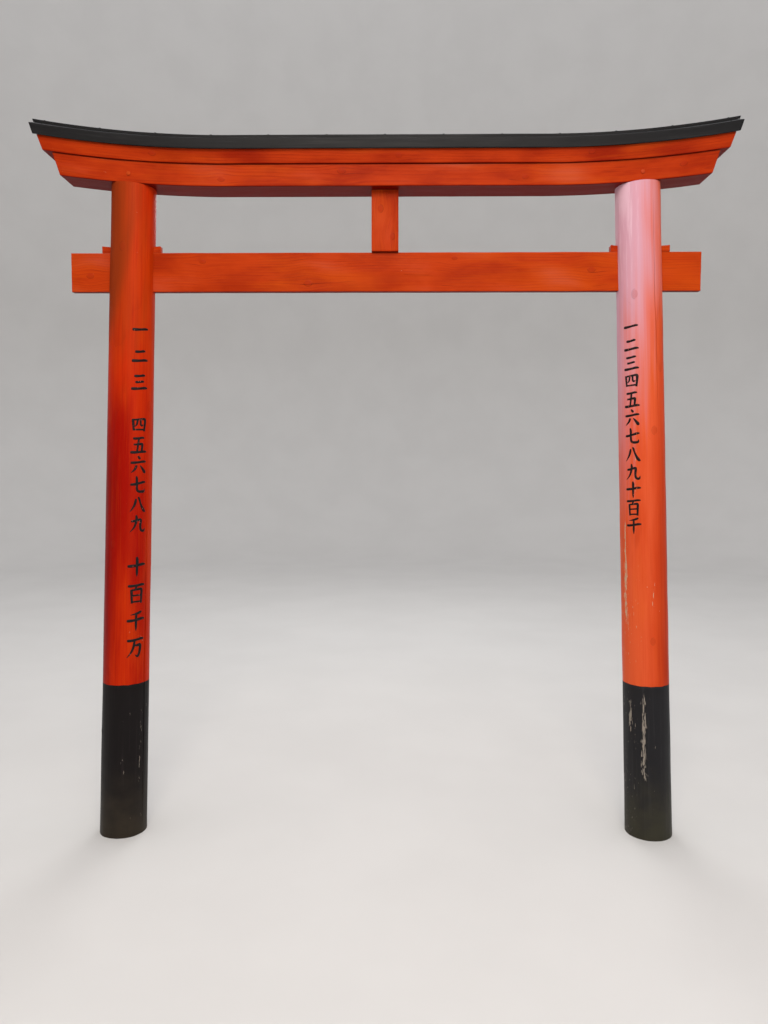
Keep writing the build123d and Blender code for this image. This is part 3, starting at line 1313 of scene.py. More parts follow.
        # Points that lie 4 mm deep or more are the mortise's, and stay where they are
        outside = smooth_step(radius - self.radius_at(along), -0.004, -0.001)
        along = along + self._line_wave(angle, along, skin.points[:, 2]) * outside
        lift = self.waviness(angle, along)
        for knot in self.knots:
            across = wrapped(angle - knot.across) * self.foot_radius
            lift += skin.mark_knot(knot, along - knot.along, across)
        checked = angle.copy()
        for check in self.checks:
            turn, deep, mark = self._open_check(check, angle, along)
            checked += turn
            lift -= deep
            skin.check = np.maximum(skin.check, mark)
        moved = self.to_gate(np.where(outside > 0, checked, angle), along, radius + lift * outside)
        on_ground = skin.points[:, 2] < 1e-5
        moved[:, 2] = np.where(on_ground, 0.0, moved[:, 2])
        skin.points = moved
        skin.grain = np.column_stack((along, radius * np.cos(checked), radius * np.sin(checked)))
        self._weather_shade_and_knocks(skin, angle, along)

    def _line_wave(self, angle: np.ndarray, along: np.ndarray, height: np.ndarray) -> np.ndarray:
        """Moves the row of points nearest to the paint line on to it, with its small wave.

        Args:
            angle: The way round of each point.
            along: The distance along the log of each point.
            height: The height above the ground of each point.

        Returns:
            How far each point moves along the log.
        """
        round_it = np.column_stack((np.cos(angle), np.sin(angle)))
        wave = self.line_wave * ripple(round_it, (0.7, 0.7), seed=5)
        row = np.round((along + self.below) / self.row)
        on_line = row == round((self.paint_line + self.below) / self.row)
        near = np.abs(height - self.paint_line) < 3 * self.row
        return np.where(on_line & near, self.paint_line + wave - height, 0)

    def _weather_shade_and_knocks(self, skin: Skin, angle: np.ndarray, along: np.ndarray) -> None:
        """Bleaches the log's top, paints shade on its outer side and light on its inner side, and
        knocks it where people pass.

        Args:
            skin: The log's skin, with its grain.
            angle: The way round of each point.
            along: The distance along the log of each point.
        """
        high = smooth_step(along, self.bleach_low, self.bleach_high)
        inward = np.cos(angle - self.side.inward)
        patches = ripple(skin.grain, self.patch_lengths, self.seed + 9)
        # The bleach takes over the side shade, and the patches grow with it
        bleached = self.bleach * high * (0.8 + self.bleach_and_light_lopsided * inward)
        # Painted shade and painted light: the outer side darker and the inner side lighter, fading
        # where the top is bleached
        shaded = self.side_shade * inward * (1 - 0.6 * high)
        uneven = self.patchiness * (patches * (0.4 + 0.6 * high) - 1)
        skin.weather_and_painted_light = bleached + shaded + uneven
        at_hand = smooth_step(along, self.knocks_high, self.knocks_full)
        skin.worn = self.knocks * at_hand * (0.5 + 0.5 * inward) ** 2
        for number, scuff in enumerate(self.scuffs):
            path = scuff.wander * ripple(along[:, None], (0.4,), self.seed + number)
            off = wrapped(angle - scuff.angle - path) * self.foot_radius
            ends = smooth_step(along, scuff.bottom, scuff.bottom + scuff.fade)
            ends = ends * smooth_step(along, scuff.top, scuff.top - scuff.fade)
            skin.worn += scuff.strength * np.exp(-(off / scuff.half_width) ** 2) * ends

    def _open_check(self, check: DryingCheck, angle: np.ndarray,
                    along: np.ndarray) -> tuple[np.ndarray, np.ndarray, np.ndarray]:
        """Opens a drying check: the nearest columns close in on it, and its middle sinks.

        Args:
            check: The drying check.
            angle: The way round of each point.
            along: The distance along the log of each point.

        Returns:
            For each point the turn, the depth and the share of dark wood.
        """
        # Columns to each side: those that close in, those that drift in full, and the first that
        # stays where it is
        closing, drifting, fixed = 6, 5, 14
        bluntness = 0.45
        step = 2 * math.pi / self.columns
        column = round(check.angle / step) * step
        away = wrapped(angle - column) / step
        near = np.abs(away)
        share = (along - check.bottom) / (check.top - check.bottom)
        inside = (share > 0) & (share < 1)
        opening = np.sin(math.pi * np.clip(share, 0, 1)) ** bluntness * inside
        lip = (check.width / 2) * opening / self.foot_radius / step
        spread = lip + (closing - lip) * (near - 1) / (closing - 1)
        wanted = np.where(near < 1.5, lip * near, spread)
        eased = np.sign(away) * np.where(near < closing, wanted, near)
        eased = np.where(opening > 0, eased, away)
        path = check.wander * ripple(along[:, None], (0.5,), self.seed) * opening
        drift = path * smooth_step(near, fixed, drifting)
        middle = near < 0.5
        turn = (eased - away) * step * (near < closing + 0.5) + drift
        return turn, check.depth * opening * middle, opening * middle

    def build(self, paint: bpy.types.Material, foot_paint: bpy.types.Material) -> bpy.types.Object:
        """Builds the post.

        Args:
            paint: The vermilion paint.
            foot_paint: The black paint of its foot.

        Returns:
            The post.
        """
        name = f"{self.side.label}_painted_log"
        mesh = self.cut_mortise(finish_mesh(self.log_shape(), name))
        mesh.materials.clear()
        mesh.materials.append(paint)
        mesh.materials.append(foot_paint)
        skin = Skin(mesh)
        self.wear(skin)
        skin.store()
        middles = np.empty(len(mesh.polygons) * 3)
        mesh.polygons.foreach_get("center", middles)
        is_foot = (middles[2::3] < self.paint_line).astype(np.int32)
        mesh.polygons.foreach_set("material_index", is_foot)
        mesh.shade_smooth()
        mesh.set_sharp_from_angle(angle=SHARP_FROM)
        return add_piece(name, mesh, f"{self.side.label}_post")


@dataclass
class Wedge:
    """A hardwood wedge driven in over the tie beam, its head spread by the mallet."""

    node: str
    tip_x: float
    head_x: float
    base: float
    tip_height: float
    slope: float
    width: float = 0.029
    arris: float = 0.0025
    slices: int = 37
    rows: int = 8
    burr: float = 0.06
    seed: int = 1

    def straight_shape(self, length: float) -> bmesh.types.BMesh:
        """The wedge with its tip at the origin and its head towards +X.

        Args:
            length: Its length.

        Returns:
            The bmesh.
        """
        shape = bmesh.new()
        bmesh.ops.create_cube(shape, size=1.0)
        bmesh.ops.scale(shape, verts=shape.verts[:], vec=(length, self.width, self.tip_height))
        bmesh.ops.translate(shape, verts=shape.verts[:], vec=(length / 2, 0, self.tip_height / 2))
        head_top = [v for v in shape.verts if v.co.x > length / 2 and v.co.z > 0.001]
        bmesh.ops.translate(shape, verts=head_top, vec=(0, 0, self.slope * length))
        head = [e for e in shape.edges if all(v.co.x > length / 2 for v in e.verts)]
        ease_edges(shape, head, self.arris, segments=3)
        long_edges = [e for e in shape.edges if e.calc_length() > 0.8 * length]
        bmesh.ops.subdivide_edges(
            shape, edges=long_edges, cuts=self.slices - 1, use_grid_fill=True
        )
        across = [
            e for e in shape.edges
            if abs((e.verts[1].co - e.verts[0].co).normalized().x) < 0.2
            and e.calc_length() > 0.75 * self.tip_height
        ]
        bmesh.ops.subdivide_edges(shape, edges=across, cuts=self.rows - 1, use_grid_fill=True)
        return shape

    def build(self, finish: bpy.types.Material) -> bpy.types.Object:
        """Builds the wedge.

        Args:
            finish: Its material.

        Returns:
            The piece.
        """
        length = abs(self.head_x - self.tip_x)
        mesh = finish_mesh(self.straight_shape(length), self.node)
        skin = Skin(mesh)
        # Each wedge shows another stretch of the grain
        skin.grain = skin.points + (self.seed * 0.37, 0.01, 0.02)
        skin.weather_and_painted_light = 0.10 + 0.1 * ripple(skin.points, (0.05, 0.02, 0.02), self.seed)
        # The last centimetre spreads out from the head's middle, unevenly
        spread = smooth_step(skin.points[:, 0], length - 0.010, length - 0.001)
        middle = np.array([0, 0, self.tip_height * 0.8])
        ragged = 1 + 0.6 * ripple(skin.points, (0.03, 0.011, 0.011), self.seed + 3)
        burr = self.burr * spread * ragged
        skin.points[:, 1:] += (skin.points - middle)[:, 1:] * burr[:, None]
        skin.points[:, 2] = np.maximum(skin.points[:, 2], 0)
        way = math.copysign(1, self.head_x - self.tip_x)
        skin.points = skin.points * (way, way, 1) + (self.tip_x, 0, self.base)
        skin.store()
        mesh.materials.append(finish)
        return add_piece(f"{self.node}_driven", mesh, self.node)


@dataclass
class TenonPeg:
    """A whittled peg that stands a little proud on both faces of the lower lintel."""

    node: str
    x: float
    z: float
    half_length: float
    radius: float = 0.0079
    sides: int = 24
    arris: float = 0.0012
    end_ring: float = 0.0025
    facet: float = 0.012
    seed: int = 1

    def build(self, finish: bpy.types.Material) -> bpy.types.Object:
        """Builds the peg.

        Args:
            finish: Its material.

        Returns:
            The piece.
        """
        shape = bmesh.new()
        bmesh.ops.create_cone(
            shape, cap_ends=True, cap_tris=False, segments=self.sides,
            radius1=self.radius, radius2=self.radius, depth=2 * self.half_length,
        )
        rims = [e for e in shape.edges if abs(e.verts[0].co.z - e.verts[1].co.z) < 1e-6]
        ease_edges(shape, rims, self.arris, segments=3)
        ends = [f for f in shape.faces if len(f.verts) > 4]
        bmesh.ops.inset_region(shape, faces=ends, thickness=self.end_ring, depth=0.0)
        mesh = finish_mesh(shape, self.node)
        skin = Skin(mesh)
        facets = ripple(skin.points, (0.008, 0.008, 0.2), self.seed)
        skin.points[:, :2] *= (1 - self.facet * (1 + facets))[:, None]
        skin.grain = skin.points[:, [2, 0, 1]] + (0, 0.3, 0.1 * self.seed)
        skin.weather_and_painted_light = np.full(len(skin.points), 0.30)
        skin.points = skin.points[:, [0, 2, 1]] * (1, -1, 1) + (self.x, 0, self.z)
        skin.store()
        mesh.materials.append(finish)
        return add_piece(f"{self.node}_whittled", mesh, self.node)


class Numeral(Enum):
    """Brushed numerals. Each stroke lists points as across, up and half its width, from 0 to 1."""

    ONE = (
        ((.05, .47, .030), (.12, .46, .046), (.50, .49, .030), (.84, .56, .040), (.95, .53, .020)),
    )
    TWO = (
        ((.21, .71, .028), (.28, .70, .044), (.52, .72, .030), (.72, .78, .042), (.80, .75, .016)),
        ((.04, .22, .030), (.12, .21, .048), (.50, .24, .032), (.86, .31, .044), (.97, .27, .018)),
    )
    THREE = (
        ((.18, .82, .026), (.26, .81, .042), (.50, .83, .030), (.74, .89, .040), (.82, .86, .016)),
        ((.24, .50, .026), (.31, .49, .038), (.50, .51, .028), (.68, .56, .038), (.75, .53, .014)),
        ((.03, .14, .030), (.12, .13, .048), (.50, .16, .032), (.87, .23, .044), (.97, .19, .018)),
    )
    FOUR = (
        ((.12, .84, .024), (.15, .76, .044), (.18, .40, .034), (.19, .20, .030)),
        ((.15, .79, .030), (.50, .83, .028), (.82, .87, .040), (.87, .80, .044), (.84, .50, .036),
         (.80, .18, .032)),
        ((.40, .80, .032), (.39, .62, .032), (.33, .48, .026), (.25, .42, .010)),
        ((.58, .82, .032), (.58, .60, .032), (.60, .50, .030), (.70, .49, .030), (.74, .56, .010)),
        ((.18, .25, .026), (.50, .27, .028), (.81, .28, .028)),
    )
    FIVE = (
        ((.16, .86, .026), (.24, .85, .042), (.50, .88, .030), (.76, .93, .040), (.84, .89, .014)),
        ((.50, .88, .032), (.46, .60, .032), (.40, .14, .030)),
        ((.20, .52, .026), (.40, .53, .032), (.68, .58, .040), (.72, .52, .042), (.66, .14, .032)),
        ((.02, .09, .030), (.12, .08, .048), (.50, .11, .032), (.88, .17, .044), (.98, .13, .018)),
    )
    SIX = (
        ((.44, .99, .016), (.50, .93, .036), (.57, .84, .044), (.58, .80, .014)),
        ((.05, .61, .028), (.14, .60, .046), (.50, .64, .030), (.86, .71, .044), (.95, .67, .018)),
        ((.38, .47, .034), (.35, .34, .040), (.24, .18, .030), (.08, .05, .008)),
        ((.58, .47, .014), (.66, .38, .030), (.80, .20, .046), (.90, .08, .052), (.93, .05, .012)),
    )
    SEVEN = (
        ((.05, .49, .026), (.13, .48, .044), (.50, .55, .032), (.86, .66, .044), (.95, .63, .016)),
        ((.36, .95, .020), (.42, .88, .044), (.41, .50, .036), (.42, .18, .038), (.54, .10, .040),
         (.78, .10, .042), (.88, .14, .034), (.88, .28, .008)),
    )
    EIGHT = (
        ((.38, .80, .020), (.38, .70, .042), (.28, .36, .034), (.05, .06, .008)),
        ((.50, .90, .018), (.56, .84, .040), (.62, .60, .026), (.76, .28, .042), (.90, .10, .054),
         (.98, .08, .012)),
    )
    NINE = (
        ((.40, .97, .020), (.45, .88, .044), (.41, .55, .036), (.28, .22, .028), (.06, .02, .008)),
        ((.12, .63, .024), (.20, .62, .042), (.45, .68, .030), (.66, .74, .044), (.69, .66, .044),
         (.65, .36, .034), (.68, .14, .038), (.80, .08, .040), (.92, .10, .034), (.94, .26, .008)),
    )
    TEN = (
        ((.03, .53, .028), (.12, .52, .046), (.50, .56, .032), (.87, .64, .044), (.97, .60, .018)),
        ((.47, .99, .020), (.52, .92, .046), (.50, .50, .036), (.50, .14, .034), (.50, .00, .006)),
    )
    HUNDRED = (
        ((.06, .89, .026), (.14, .88, .042), (.50, .91, .030), (.86, .97, .040), (.95, .93, .016)),
        ((.52, .91, .030), (.48, .80, .030), (.41, .72, .012)),
        ((.22, .72, .024), (.25, .66, .040), (.26, .30, .032), (.27, .02, .028)),
        ((.25, .68, .028), (.50, .71, .028), (.74, .75, .038), (.78, .68, .040), (.76, .35, .034),
         (.75, .02, .028)),
        ((.27, .40, .022), (.50, .42, .026), (.75, .43, .024)),
        ((.27, .09, .022), (.50, .11, .026), (.75, .11, .024)),
    )
    THOUSAND = (
        ((.80, .97, .018), (.74, .92, .042), (.50, .84, .030), (.20, .79, .008)),
        ((.03, .50, .028), (.12, .49, .046), (.50, .53, .032), (.87, .61, .044), (.97, .57, .018)),
        ((.51, .85, .032), (.50, .50, .036), (.50, .14, .034), (.50, -.02, .006)),
    )
    TEN_THOUSAND = (
        ((.06, .85, .026), (.14, .84, .044), (.50, .88, .030), (.86, .95, .042), (.95, .91, .016)),
        ((.36, .58, .024), (.50, .59, .030), (.72, .64, .042), (.76, .57, .044), (.72, .26, .038),
         (.64, .05, .034), (.58, .04, .030), (.46, .14, .006)),
        ((.45, .87, .030), (.42, .62, .036), (.30, .26, .030), (.06, .00, .008)),
    )


@dataclass(frozen=True)
class NumeralGroup:
    """Numerals brushed one below the other, from the height of the first one's middle."""

    numerals: tuple[Numeral, ...]
    top: float
    pitch: float
    size: float


@dataclass
class NumeralColumn:
    """Groups of numerals, brushed down a post between its front and its inner side.

    Facing is how far they are turned inward from the front, and film is the lacquer's
    greatest thickness.
    """

    post: RoundPost
    groups: tuple[NumeralGroup, ...]
    boldness: float = 1.9
    facing: float = math.radians(40)
    film: float = 0.0004

    def brush(self) -> bpy.types.Mesh:
        """Draws the strokes flat, as one mesh in metres across and up the post.

        Returns:
            The flat mesh.
        """
        curve = bpy.data.curves.new("numeral_strokes", "CURVE")
        curve.dimensions = "3D"
        # With a bevel of 1, a point's radius is half the stroke's width there
        curve.bevel_depth = 1.0
        curve.bevel_resolution = 1
        curve.use_fill_caps = True
        for group in self.groups:
            for number, numeral in enumerate(group.numerals):
                for stroke in numeral.value:
                    self._stroke(curve, stroke, group.top - number * group.pitch, group.size)
        pen = bpy.data.objects.new("numeral_pen", curve)
        bpy.context.scene.collection.objects.link(pen)
        graph = bpy.context.evaluated_depsgraph_get()
        mesh = bpy.data.meshes.new_from_object(pen.evaluated_get(graph))
        bpy.data.objects.remove(pen)
        bpy.data.curves.remove(curve)
        return mesh

    def _stroke(self, curve: bpy.types.Curve, stroke: Stroke, level: float, size: float) -> None:
        """Adds one stroke to the curve.

        Args:
            curve: The curve.
            stroke: Its points, as across, up and half width.
            level: The height of the numeral's middle.
            size: The numeral's width and height.
        """
        spline = curve.splines.new("NURBS")
        spline.points.add(len(stroke) - 1)
        for point, (across, up, half_width) in zip(spline.points, stroke):
            point.co = ((across - 0.5) * size, level + (up - 0.5) * size, 0, 1)
            point.radius = half_width * size * self.boldness
        spline.order_u = 3
        spline.use_endpoint_u = True
        spline.resolution_u = 6

    def build(self, ink: bpy.types.Material) -> bpy.types.Object:
        """Wraps the flat strokes round the post.

        Args:
            ink: The lacquer.

        Returns:
            The piece.
        """
        mesh = self.brush()
        flat = Skin(mesh).points
        middle = -math.pi / 2 + self.post.side.value * self.facing
        along = flat[:, 1] / math.cos(self.post.tilt)
        angle = middle + flat[:, 0] / self.post.radius_at(along)
        thickness = flat[:, 2] / np.abs(flat[:, 2]).max() * self.film
        radius = self.post.radius_at(along) + self.post.waviness(angle, along) + thickness
        mesh.vertices.foreach_set("co", self.post.to_gate(angle, along, radius).ravel())
        mesh.update()
        shape = bmesh.new()
        shape.from_mesh(mesh)
        bmesh.ops.remove_doubles(shape, verts=shape.verts[:], dist=1e-6)
        bmesh.ops.recalc_face_normals(shape, faces=shape.faces[:])
        shape.to_mesh(mesh)
        shape.free()
        mesh.shade_smooth()
        mesh.materials.clear()
        mesh.materials.append(ink)
        return add_piece(f"{self.post.side.label}_post_numerals", mesh)


@dataclass
class Posts:
    """The two posts, each with its own knots and drying checks, and the numerals on them."""

    camber: Camber
    mortise: WedgedMortise
    foot_radius: float
    right_foot_x: float

    def left(self) -> RoundPost:
        """The left post: deep red, browned at its top, with a long check near its inner edge.

        Returns:
            The post.
        """
        return RoundPost(
            side=Side.LEFT, foot_x=0.0, foot_radius=self.foot_radius, camber=self.camber,
            mortise=self.mortise, seed=11, bleach=1.0, bleach_low=1.35,
            bleach_and_light_lopsided=-0.5, knocks=0.45,
            knots=(
                Knot(1.72, -0.30, 0.034, 0.024, 0.0010), Knot(2.32, -1.75, 0.030, 0.022, 0.0009),
                Knot(1.18, -1.95, 0.030, 0.022, 0.0008), Knot(0.86, 0.9, 0.032, 0.024, 0.0012),
                Knot(1.95, 2.3, 0.034, 0.026, 0.0014), Knot(1.30, 3.0, 0.030, 0.022, 0.0012),
                Knot(0.42, -2.6, 0.030, 0.022, 0.0012),
            ),
            checks=(
                DryingCheck(angle=-0.38, bottom=0.05, top=1.46, width=0.0052, wander=0.030),
                DryingCheck(angle=1.9, bottom=1.0, top=2.2, width=0.0034),
            ),
            scuffs=(
                Scuff(-0.55, 0.16, 0.60, strength=0.5),
                Scuff(-1.32, 0.24, 0.38, strength=0.9),
            ),
        )

    def right(self) -> RoundPost:
        """The right post: orange red, pink at its top from bleached and chalked paint and from painted
        sky light, most on its inner side, rubbed along its inner edge.

        Returns:
            The post.
        """
        return RoundPost(
            side=Side.RIGHT, foot_x=self.right_foot_x, foot_radius=self.foot_radius,
            camber=self.camber, mortise=self.mortise, seed=29, bleach=1.05, bleach_low=1.05,
            bleach_high=2.6, bleach_and_light_lopsided=0.28, knocks=0.75,
            knots=(
                Knot(2.14, -2.05, 0.032, 0.024, 0.0010), Knot(1.62, -1.30, 0.028, 0.022, 0.0008),
                Knot(1.05, -2.9, 0.032, 0.024, 0.0012), Knot(0.80, -1.5, 0.026, 0.020, 0.0008),
                Knot(1.85, 0.6, 0.034, 0.026, 0.0014), Knot(1.25, 1.6, 0.030, 0.024, 0.0012),
                Knot(0.36, -2.2, 0.030, 0.022, 0.0012),
            ),
            checks=(
                DryingCheck(angle=-1.12, bottom=1.55, top=2.50, width=0.0030),
                DryingCheck(angle=0.9, bottom=0.2, top=1.5),
            ),
            scuffs=(
                Scuff(-2.74, 0.84, 1.32, strength=1.7),
                Scuff(-1.94, 0.20, 0.62, strength=1.7, half_width=0.010),
                Scuff(-2.60, 0.40, 0.60, strength=1.5),
                Scuff(-2.15, 1.30, 1.72, strength=1.3, half_width=0.006),
                Scuff(-1.45, 0.86, 1.08, strength=1.3, half_width=0.006),
            ),
        )

    def build(self, finishes: Finishes) -> None:
        """Builds the posts and their numerals.

        Args:
            finishes: The gate's finishes.
        """
        left, right = self.left(), self.right()
        left.build(finishes.left_post, finishes.left_foot)
        right.build(finishes.right_post, finishes.right_foot)
        one, two, three, *four_to_nine, ten, hundred, thousand, ten_thousand = Numeral
        NumeralColumn(left, (
            NumeralGroup((one, two, three), top=2.010, pitch=0.101, size=0.072),
            NumeralGroup(tuple(four_to_nine), top=1.642, pitch=0.0765, size=0.070),
            NumeralGroup((ten, hundred, thousand, ten_thousand), top=1.090, pitch=0.107, size=0.079),
        )).build(finishes.ink)
        NumeralColumn(right, (
            NumeralGroup(tuple(Numeral)[:12], top=2.018, pitch=0.0695, size=0.0645),
        )).build(finishes.ink)


@dataclass
class TieBeam:
    """The plank through both posts, with the four wedges that hold it."""

    low: Vector
    high: Vector
    mortise: WedgedMortise
    arris: float = 0.0015

    def build(self, finishes: Finishes) -> None:
        """Builds the plank and the wedges.

        Args:
            finishes: The gate's finishes.
        """
        size = self.high - self.low
        upper = size.z / 2
        StraightTimber(
            name="tie_beam_plank", node="tie_beam", section=rectangle(size.y, -upper, upper),
            half_length=size.x / 2, arris=self.arris, step_across=0.0045, seed=4,
            centre=(self.low + self.high) / 2,
            knots=(
                Knot(-1.15, -0.012, 0.024, 0.018), Knot(-0.71, upper - 0.034, 0.020, 0.014),
                Knot(-0.30, -0.042, 0.028, 0.021), Knot(0.27, upper - 0.022, 0.018, 0.013),
                Knot(0.80, 0.008, 0.026, 0.019),
            ),
        ).build(finishes.beam)
        for number, (side, inner) in enumerate(product(Side, (True, False))):
            name = f"{side.label}_{'inner' if inner else 'outer'}_wedge"
            low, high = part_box(name)
            towards_right = inner == (side is Side.LEFT)
            tip, head = (low.x, high.x) if towards_right else (high.x, low.x)
            Wedge(
                name, tip, head, low.z, tip_height=self.mortise.wedge_tip,
                slope=self.mortise.wedge_slope, seed=number + 2,
            ).build(finishes.joinery)


@dataclass
class CentreStrut:
    """The short strut between the tie beam and the lower lintel."""

    bottom: float
    top: float
    arris: float = 0.0025

    def build(self, finishes: Finishes) -> None:
        """Builds the strut.

        Args:
            finishes: The gate's finishes.
        """
        low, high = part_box("centre_strut")
        half_width = (high.x - low.x) / 2
        StraightTimber(
            name="centre_strut_block", node="centre_strut",
            section=rectangle(high.y - low.y, -half_width, half_width),
            half_length=(self.top - self.bottom) / 2, grain=Grain.UPRIGHT,
            arris=self.arris, step_along=0.005, weather_and_painted_light=0.10, seed=8,
            centre=Vector(((low.x + high.x) / 2, 0, (self.top + self.bottom) / 2)),
            knots=(Knot(0.045, 0.018), Knot(-0.06, -0.028, 0.022, 0.018)),
        ).build(finishes.joinery)


@dataclass
class Lintels:
    """The beam seated on the posts, pegged to their tenons, and the raked beam on it.

    The eave and the peak are heights above the seat, and a reach is from the gate's centre.
    """

    camber: Camber
    lower_height: float = 0.082
    lower_depth: float = 0.135
    lower_reach: float = 1.225
    top_foot_depth: float = 0.150
    top_depth: float = 0.166
    eave: float = 0.134
    peak: float = 0.1642
    top_reach: float = 1.257

    def build(self, finishes: Finishes) -> None:
        """Builds the two lintels and the pegs.

        Args:
            finishes: The gate's finishes.
        """
        CamberedTimber(
            name="lower_lintel_beam", node="lower_lintel", camber=self.camber,
            section=rectangle(self.lower_depth, 0.0, self.lower_height),
            half_length=self.lower_reach, arris=0.0025, step_across=0.0055, seed=12,
            knots=(
                Knot(-0.61, 0.027, 0.022, 0.016), Knot(-0.16, 0.057, 0.026, 0.020),
                Knot(0.52, 0.032, 0.020, 0.014), Knot(1.10, 0.050, 0.024, 0.018),
            ),
        ).build(finishes.lintel)
        for number, side in enumerate(Side):
            name = f"{side.label}_tenon_peg"
            low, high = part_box(name)
            middle = (low + high) / 2
            TenonPeg(name, middle.x, middle.z, (high.y - low.y) / 2, seed=number + 1).build(
                finishes.joinery
            )
        foot_y, eave_y = self.top_foot_depth / 2, self.top_depth / 2
        CamberedTimber(
            name="top_lintel_beam", node="top_lintel", camber=self.camber,
            section=(
                (-foot_y, self.lower_height), (foot_y, self.lower_height), (eave_y, self.eave),
                (0, self.peak), (-eave_y, self.eave),
            ),
            half_length=self.top_reach, seed=17,
            knots=(
                Knot(-0.84, 0.112, 0.022, 0.016), Knot(0.05, 0.108, 0.018, 0.013),
                Knot(0.74, 0.116, 0.020, 0.015),
            ),
        ).build(finishes.lintel)


@dataclass
class BoardedTop:
    """Two black boards that meet at the ridge, the strip over their joint, and the nails.

    The ridge is the height of the boards' underside above the seat. Nails span the top but
    for its ends, and sit a little into the wood.
    """

    camber: Camber
    reach: float = 1.269
    ridge: float = 0.1642
    board_rise: float = 0.0404
    half_depth: float = 0.093
    pitch: float = math.radians(20)
    cap_half_width: float = 0.028
    cap_rise: float = 0.0117
    nail_radius: float = 0.0055
    nail_height: float = 0.0030
    nail_sunk: float = 0.0004
    nail_span: float = 0.965
    strip_nails: int = 13
    strip_nail_y: float = 0.019
    eave_nails: int = 11
    eave_nail_y: float = 0.074

    def roof_level(self, y: float, top: float) -> float:
        """Height above the seat of a roof plane at a y, from its height at the ridge."""
        return top - abs(y) * math.tan(self.pitch)

    def build(self, finishes: Finishes) -> None:
        """Builds the boards, the strip and the nails.

        Args:
            finishes: The gate's finishes.
        """
        board_top = self.ridge + self.board_rise
        eave = self.roof_level(self.half_depth, self.ridge)
        for place, way in (("front", -1), ("back", 1)):
            eave_y = way * self.half_depth
            self._plank(f"{place}_roof_plank", f"{place}_roof_board", (
                (0, self.ridge), (eave_y, eave), (eave_y, eave + self.board_rise), (0, board_top),
            ), arris=0.0020, seed=21 + way).build(finishes.roof)
        cap_y = self.cap_half_width
        flange = self.roof_level(cap_y, board_top)
        self._plank("ridge_cap_strip", "ridge_cap", (
            (0, board_top), (cap_y, flange), (cap_y, flange + self.cap_rise),
            (0, board_top + self.cap_rise), (-cap_y, flange + self.cap_rise), (-cap_y, flange),
        ), arris=0.0010, seed=31).build(finishes.roof)
        self._nails(finishes.roof)

    def _plank(self, name: str, node: str, section: Section, arris: float,
               seed: int) -> CamberedTimber:
        """A black bar of the top.

        Args:
            name: Its name.
            node: The node that it replaces.
            section: Its section as (y, height above the seat) corners.
            arris: The width of its eased edges.
            seed: Chooses its waviness.

        Returns:
            The bar.
        """
        return CamberedTimber(
            name=name, node=node, section=section, half_length=self.reach, slot=BLACK,
            arris=arris, seed=seed, camber=self.camber,
        )

    def _nails(self, finish: bpy.types.Material) -> None:
        """Adds the low heads of the nails, in rows along the strip and above the eaves.

        Args:
            finish: Their material.
        """
        board_top = self.ridge + self.board_rise
        rows = (
            (self.strip_nail_y, board_top + self.cap_rise, self.strip_nails),
            (self.eave_nail_y, board_top, self.eave_nails),
        )
        shape = bmesh.new()
        for y, top, count in rows:
            for way in (-1, 1):
                for share in np.linspace(-self.nail_span, self.nail_span, count):
                    height = self.roof_level(y, top) - self.nail_sunk
                    x, z = self.camber.place(np.array([share]), np.array([height]), self.reach)
                    turn = Matrix.Rotation(-math.atan(self.camber.slope(x[0])), 4, "Y")
                    lean = Matrix.Rotation(-way * self.pitch, 4, "X")
                    bmesh.ops.create_cone(
                        shape, cap_ends=True, cap_tris=False, segments=10,
                        radius1=self.nail_radius, radius2=0.55 * self.nail_radius,
                        depth=self.nail_height,
                        matrix=Matrix.Translation((x[0], way * y, z[0])) @ turn @ lean,
                    )
        mesh = finish_mesh(shape, "roof_nails")
        Skin(mesh).store()
        mesh.materials.append(finish)
        add_piece("roof_nail_heads", mesh)


@dataclass(frozen=True)
class SoftLight:
    """A soft square light, with its place, the length of its side and its power in watts."""

    name: str
    place: tuple[float, float, float]
    size: float
    power: float
    colour: str = "#FFFFFF"

    def hang(self, aim: Vector) -> None:
        """Adds the light.

        Args:
            aim: The point that it faces.
        """
        data = bpy.data.lights.new(self.name, "AREA")
        data.shape = "SQUARE"
        data.size = self.size
        data.energy = self.power
        data.color = linear(self.colour)[:3]
        light = bpy.data.objects.new(self.name, data)
        light.location = self.place
        light.rotation_euler = (aim - light.location).to_track_quat("-Z", "Y").to_euler()
        bpy.context.scene.collection.objects.link(light)


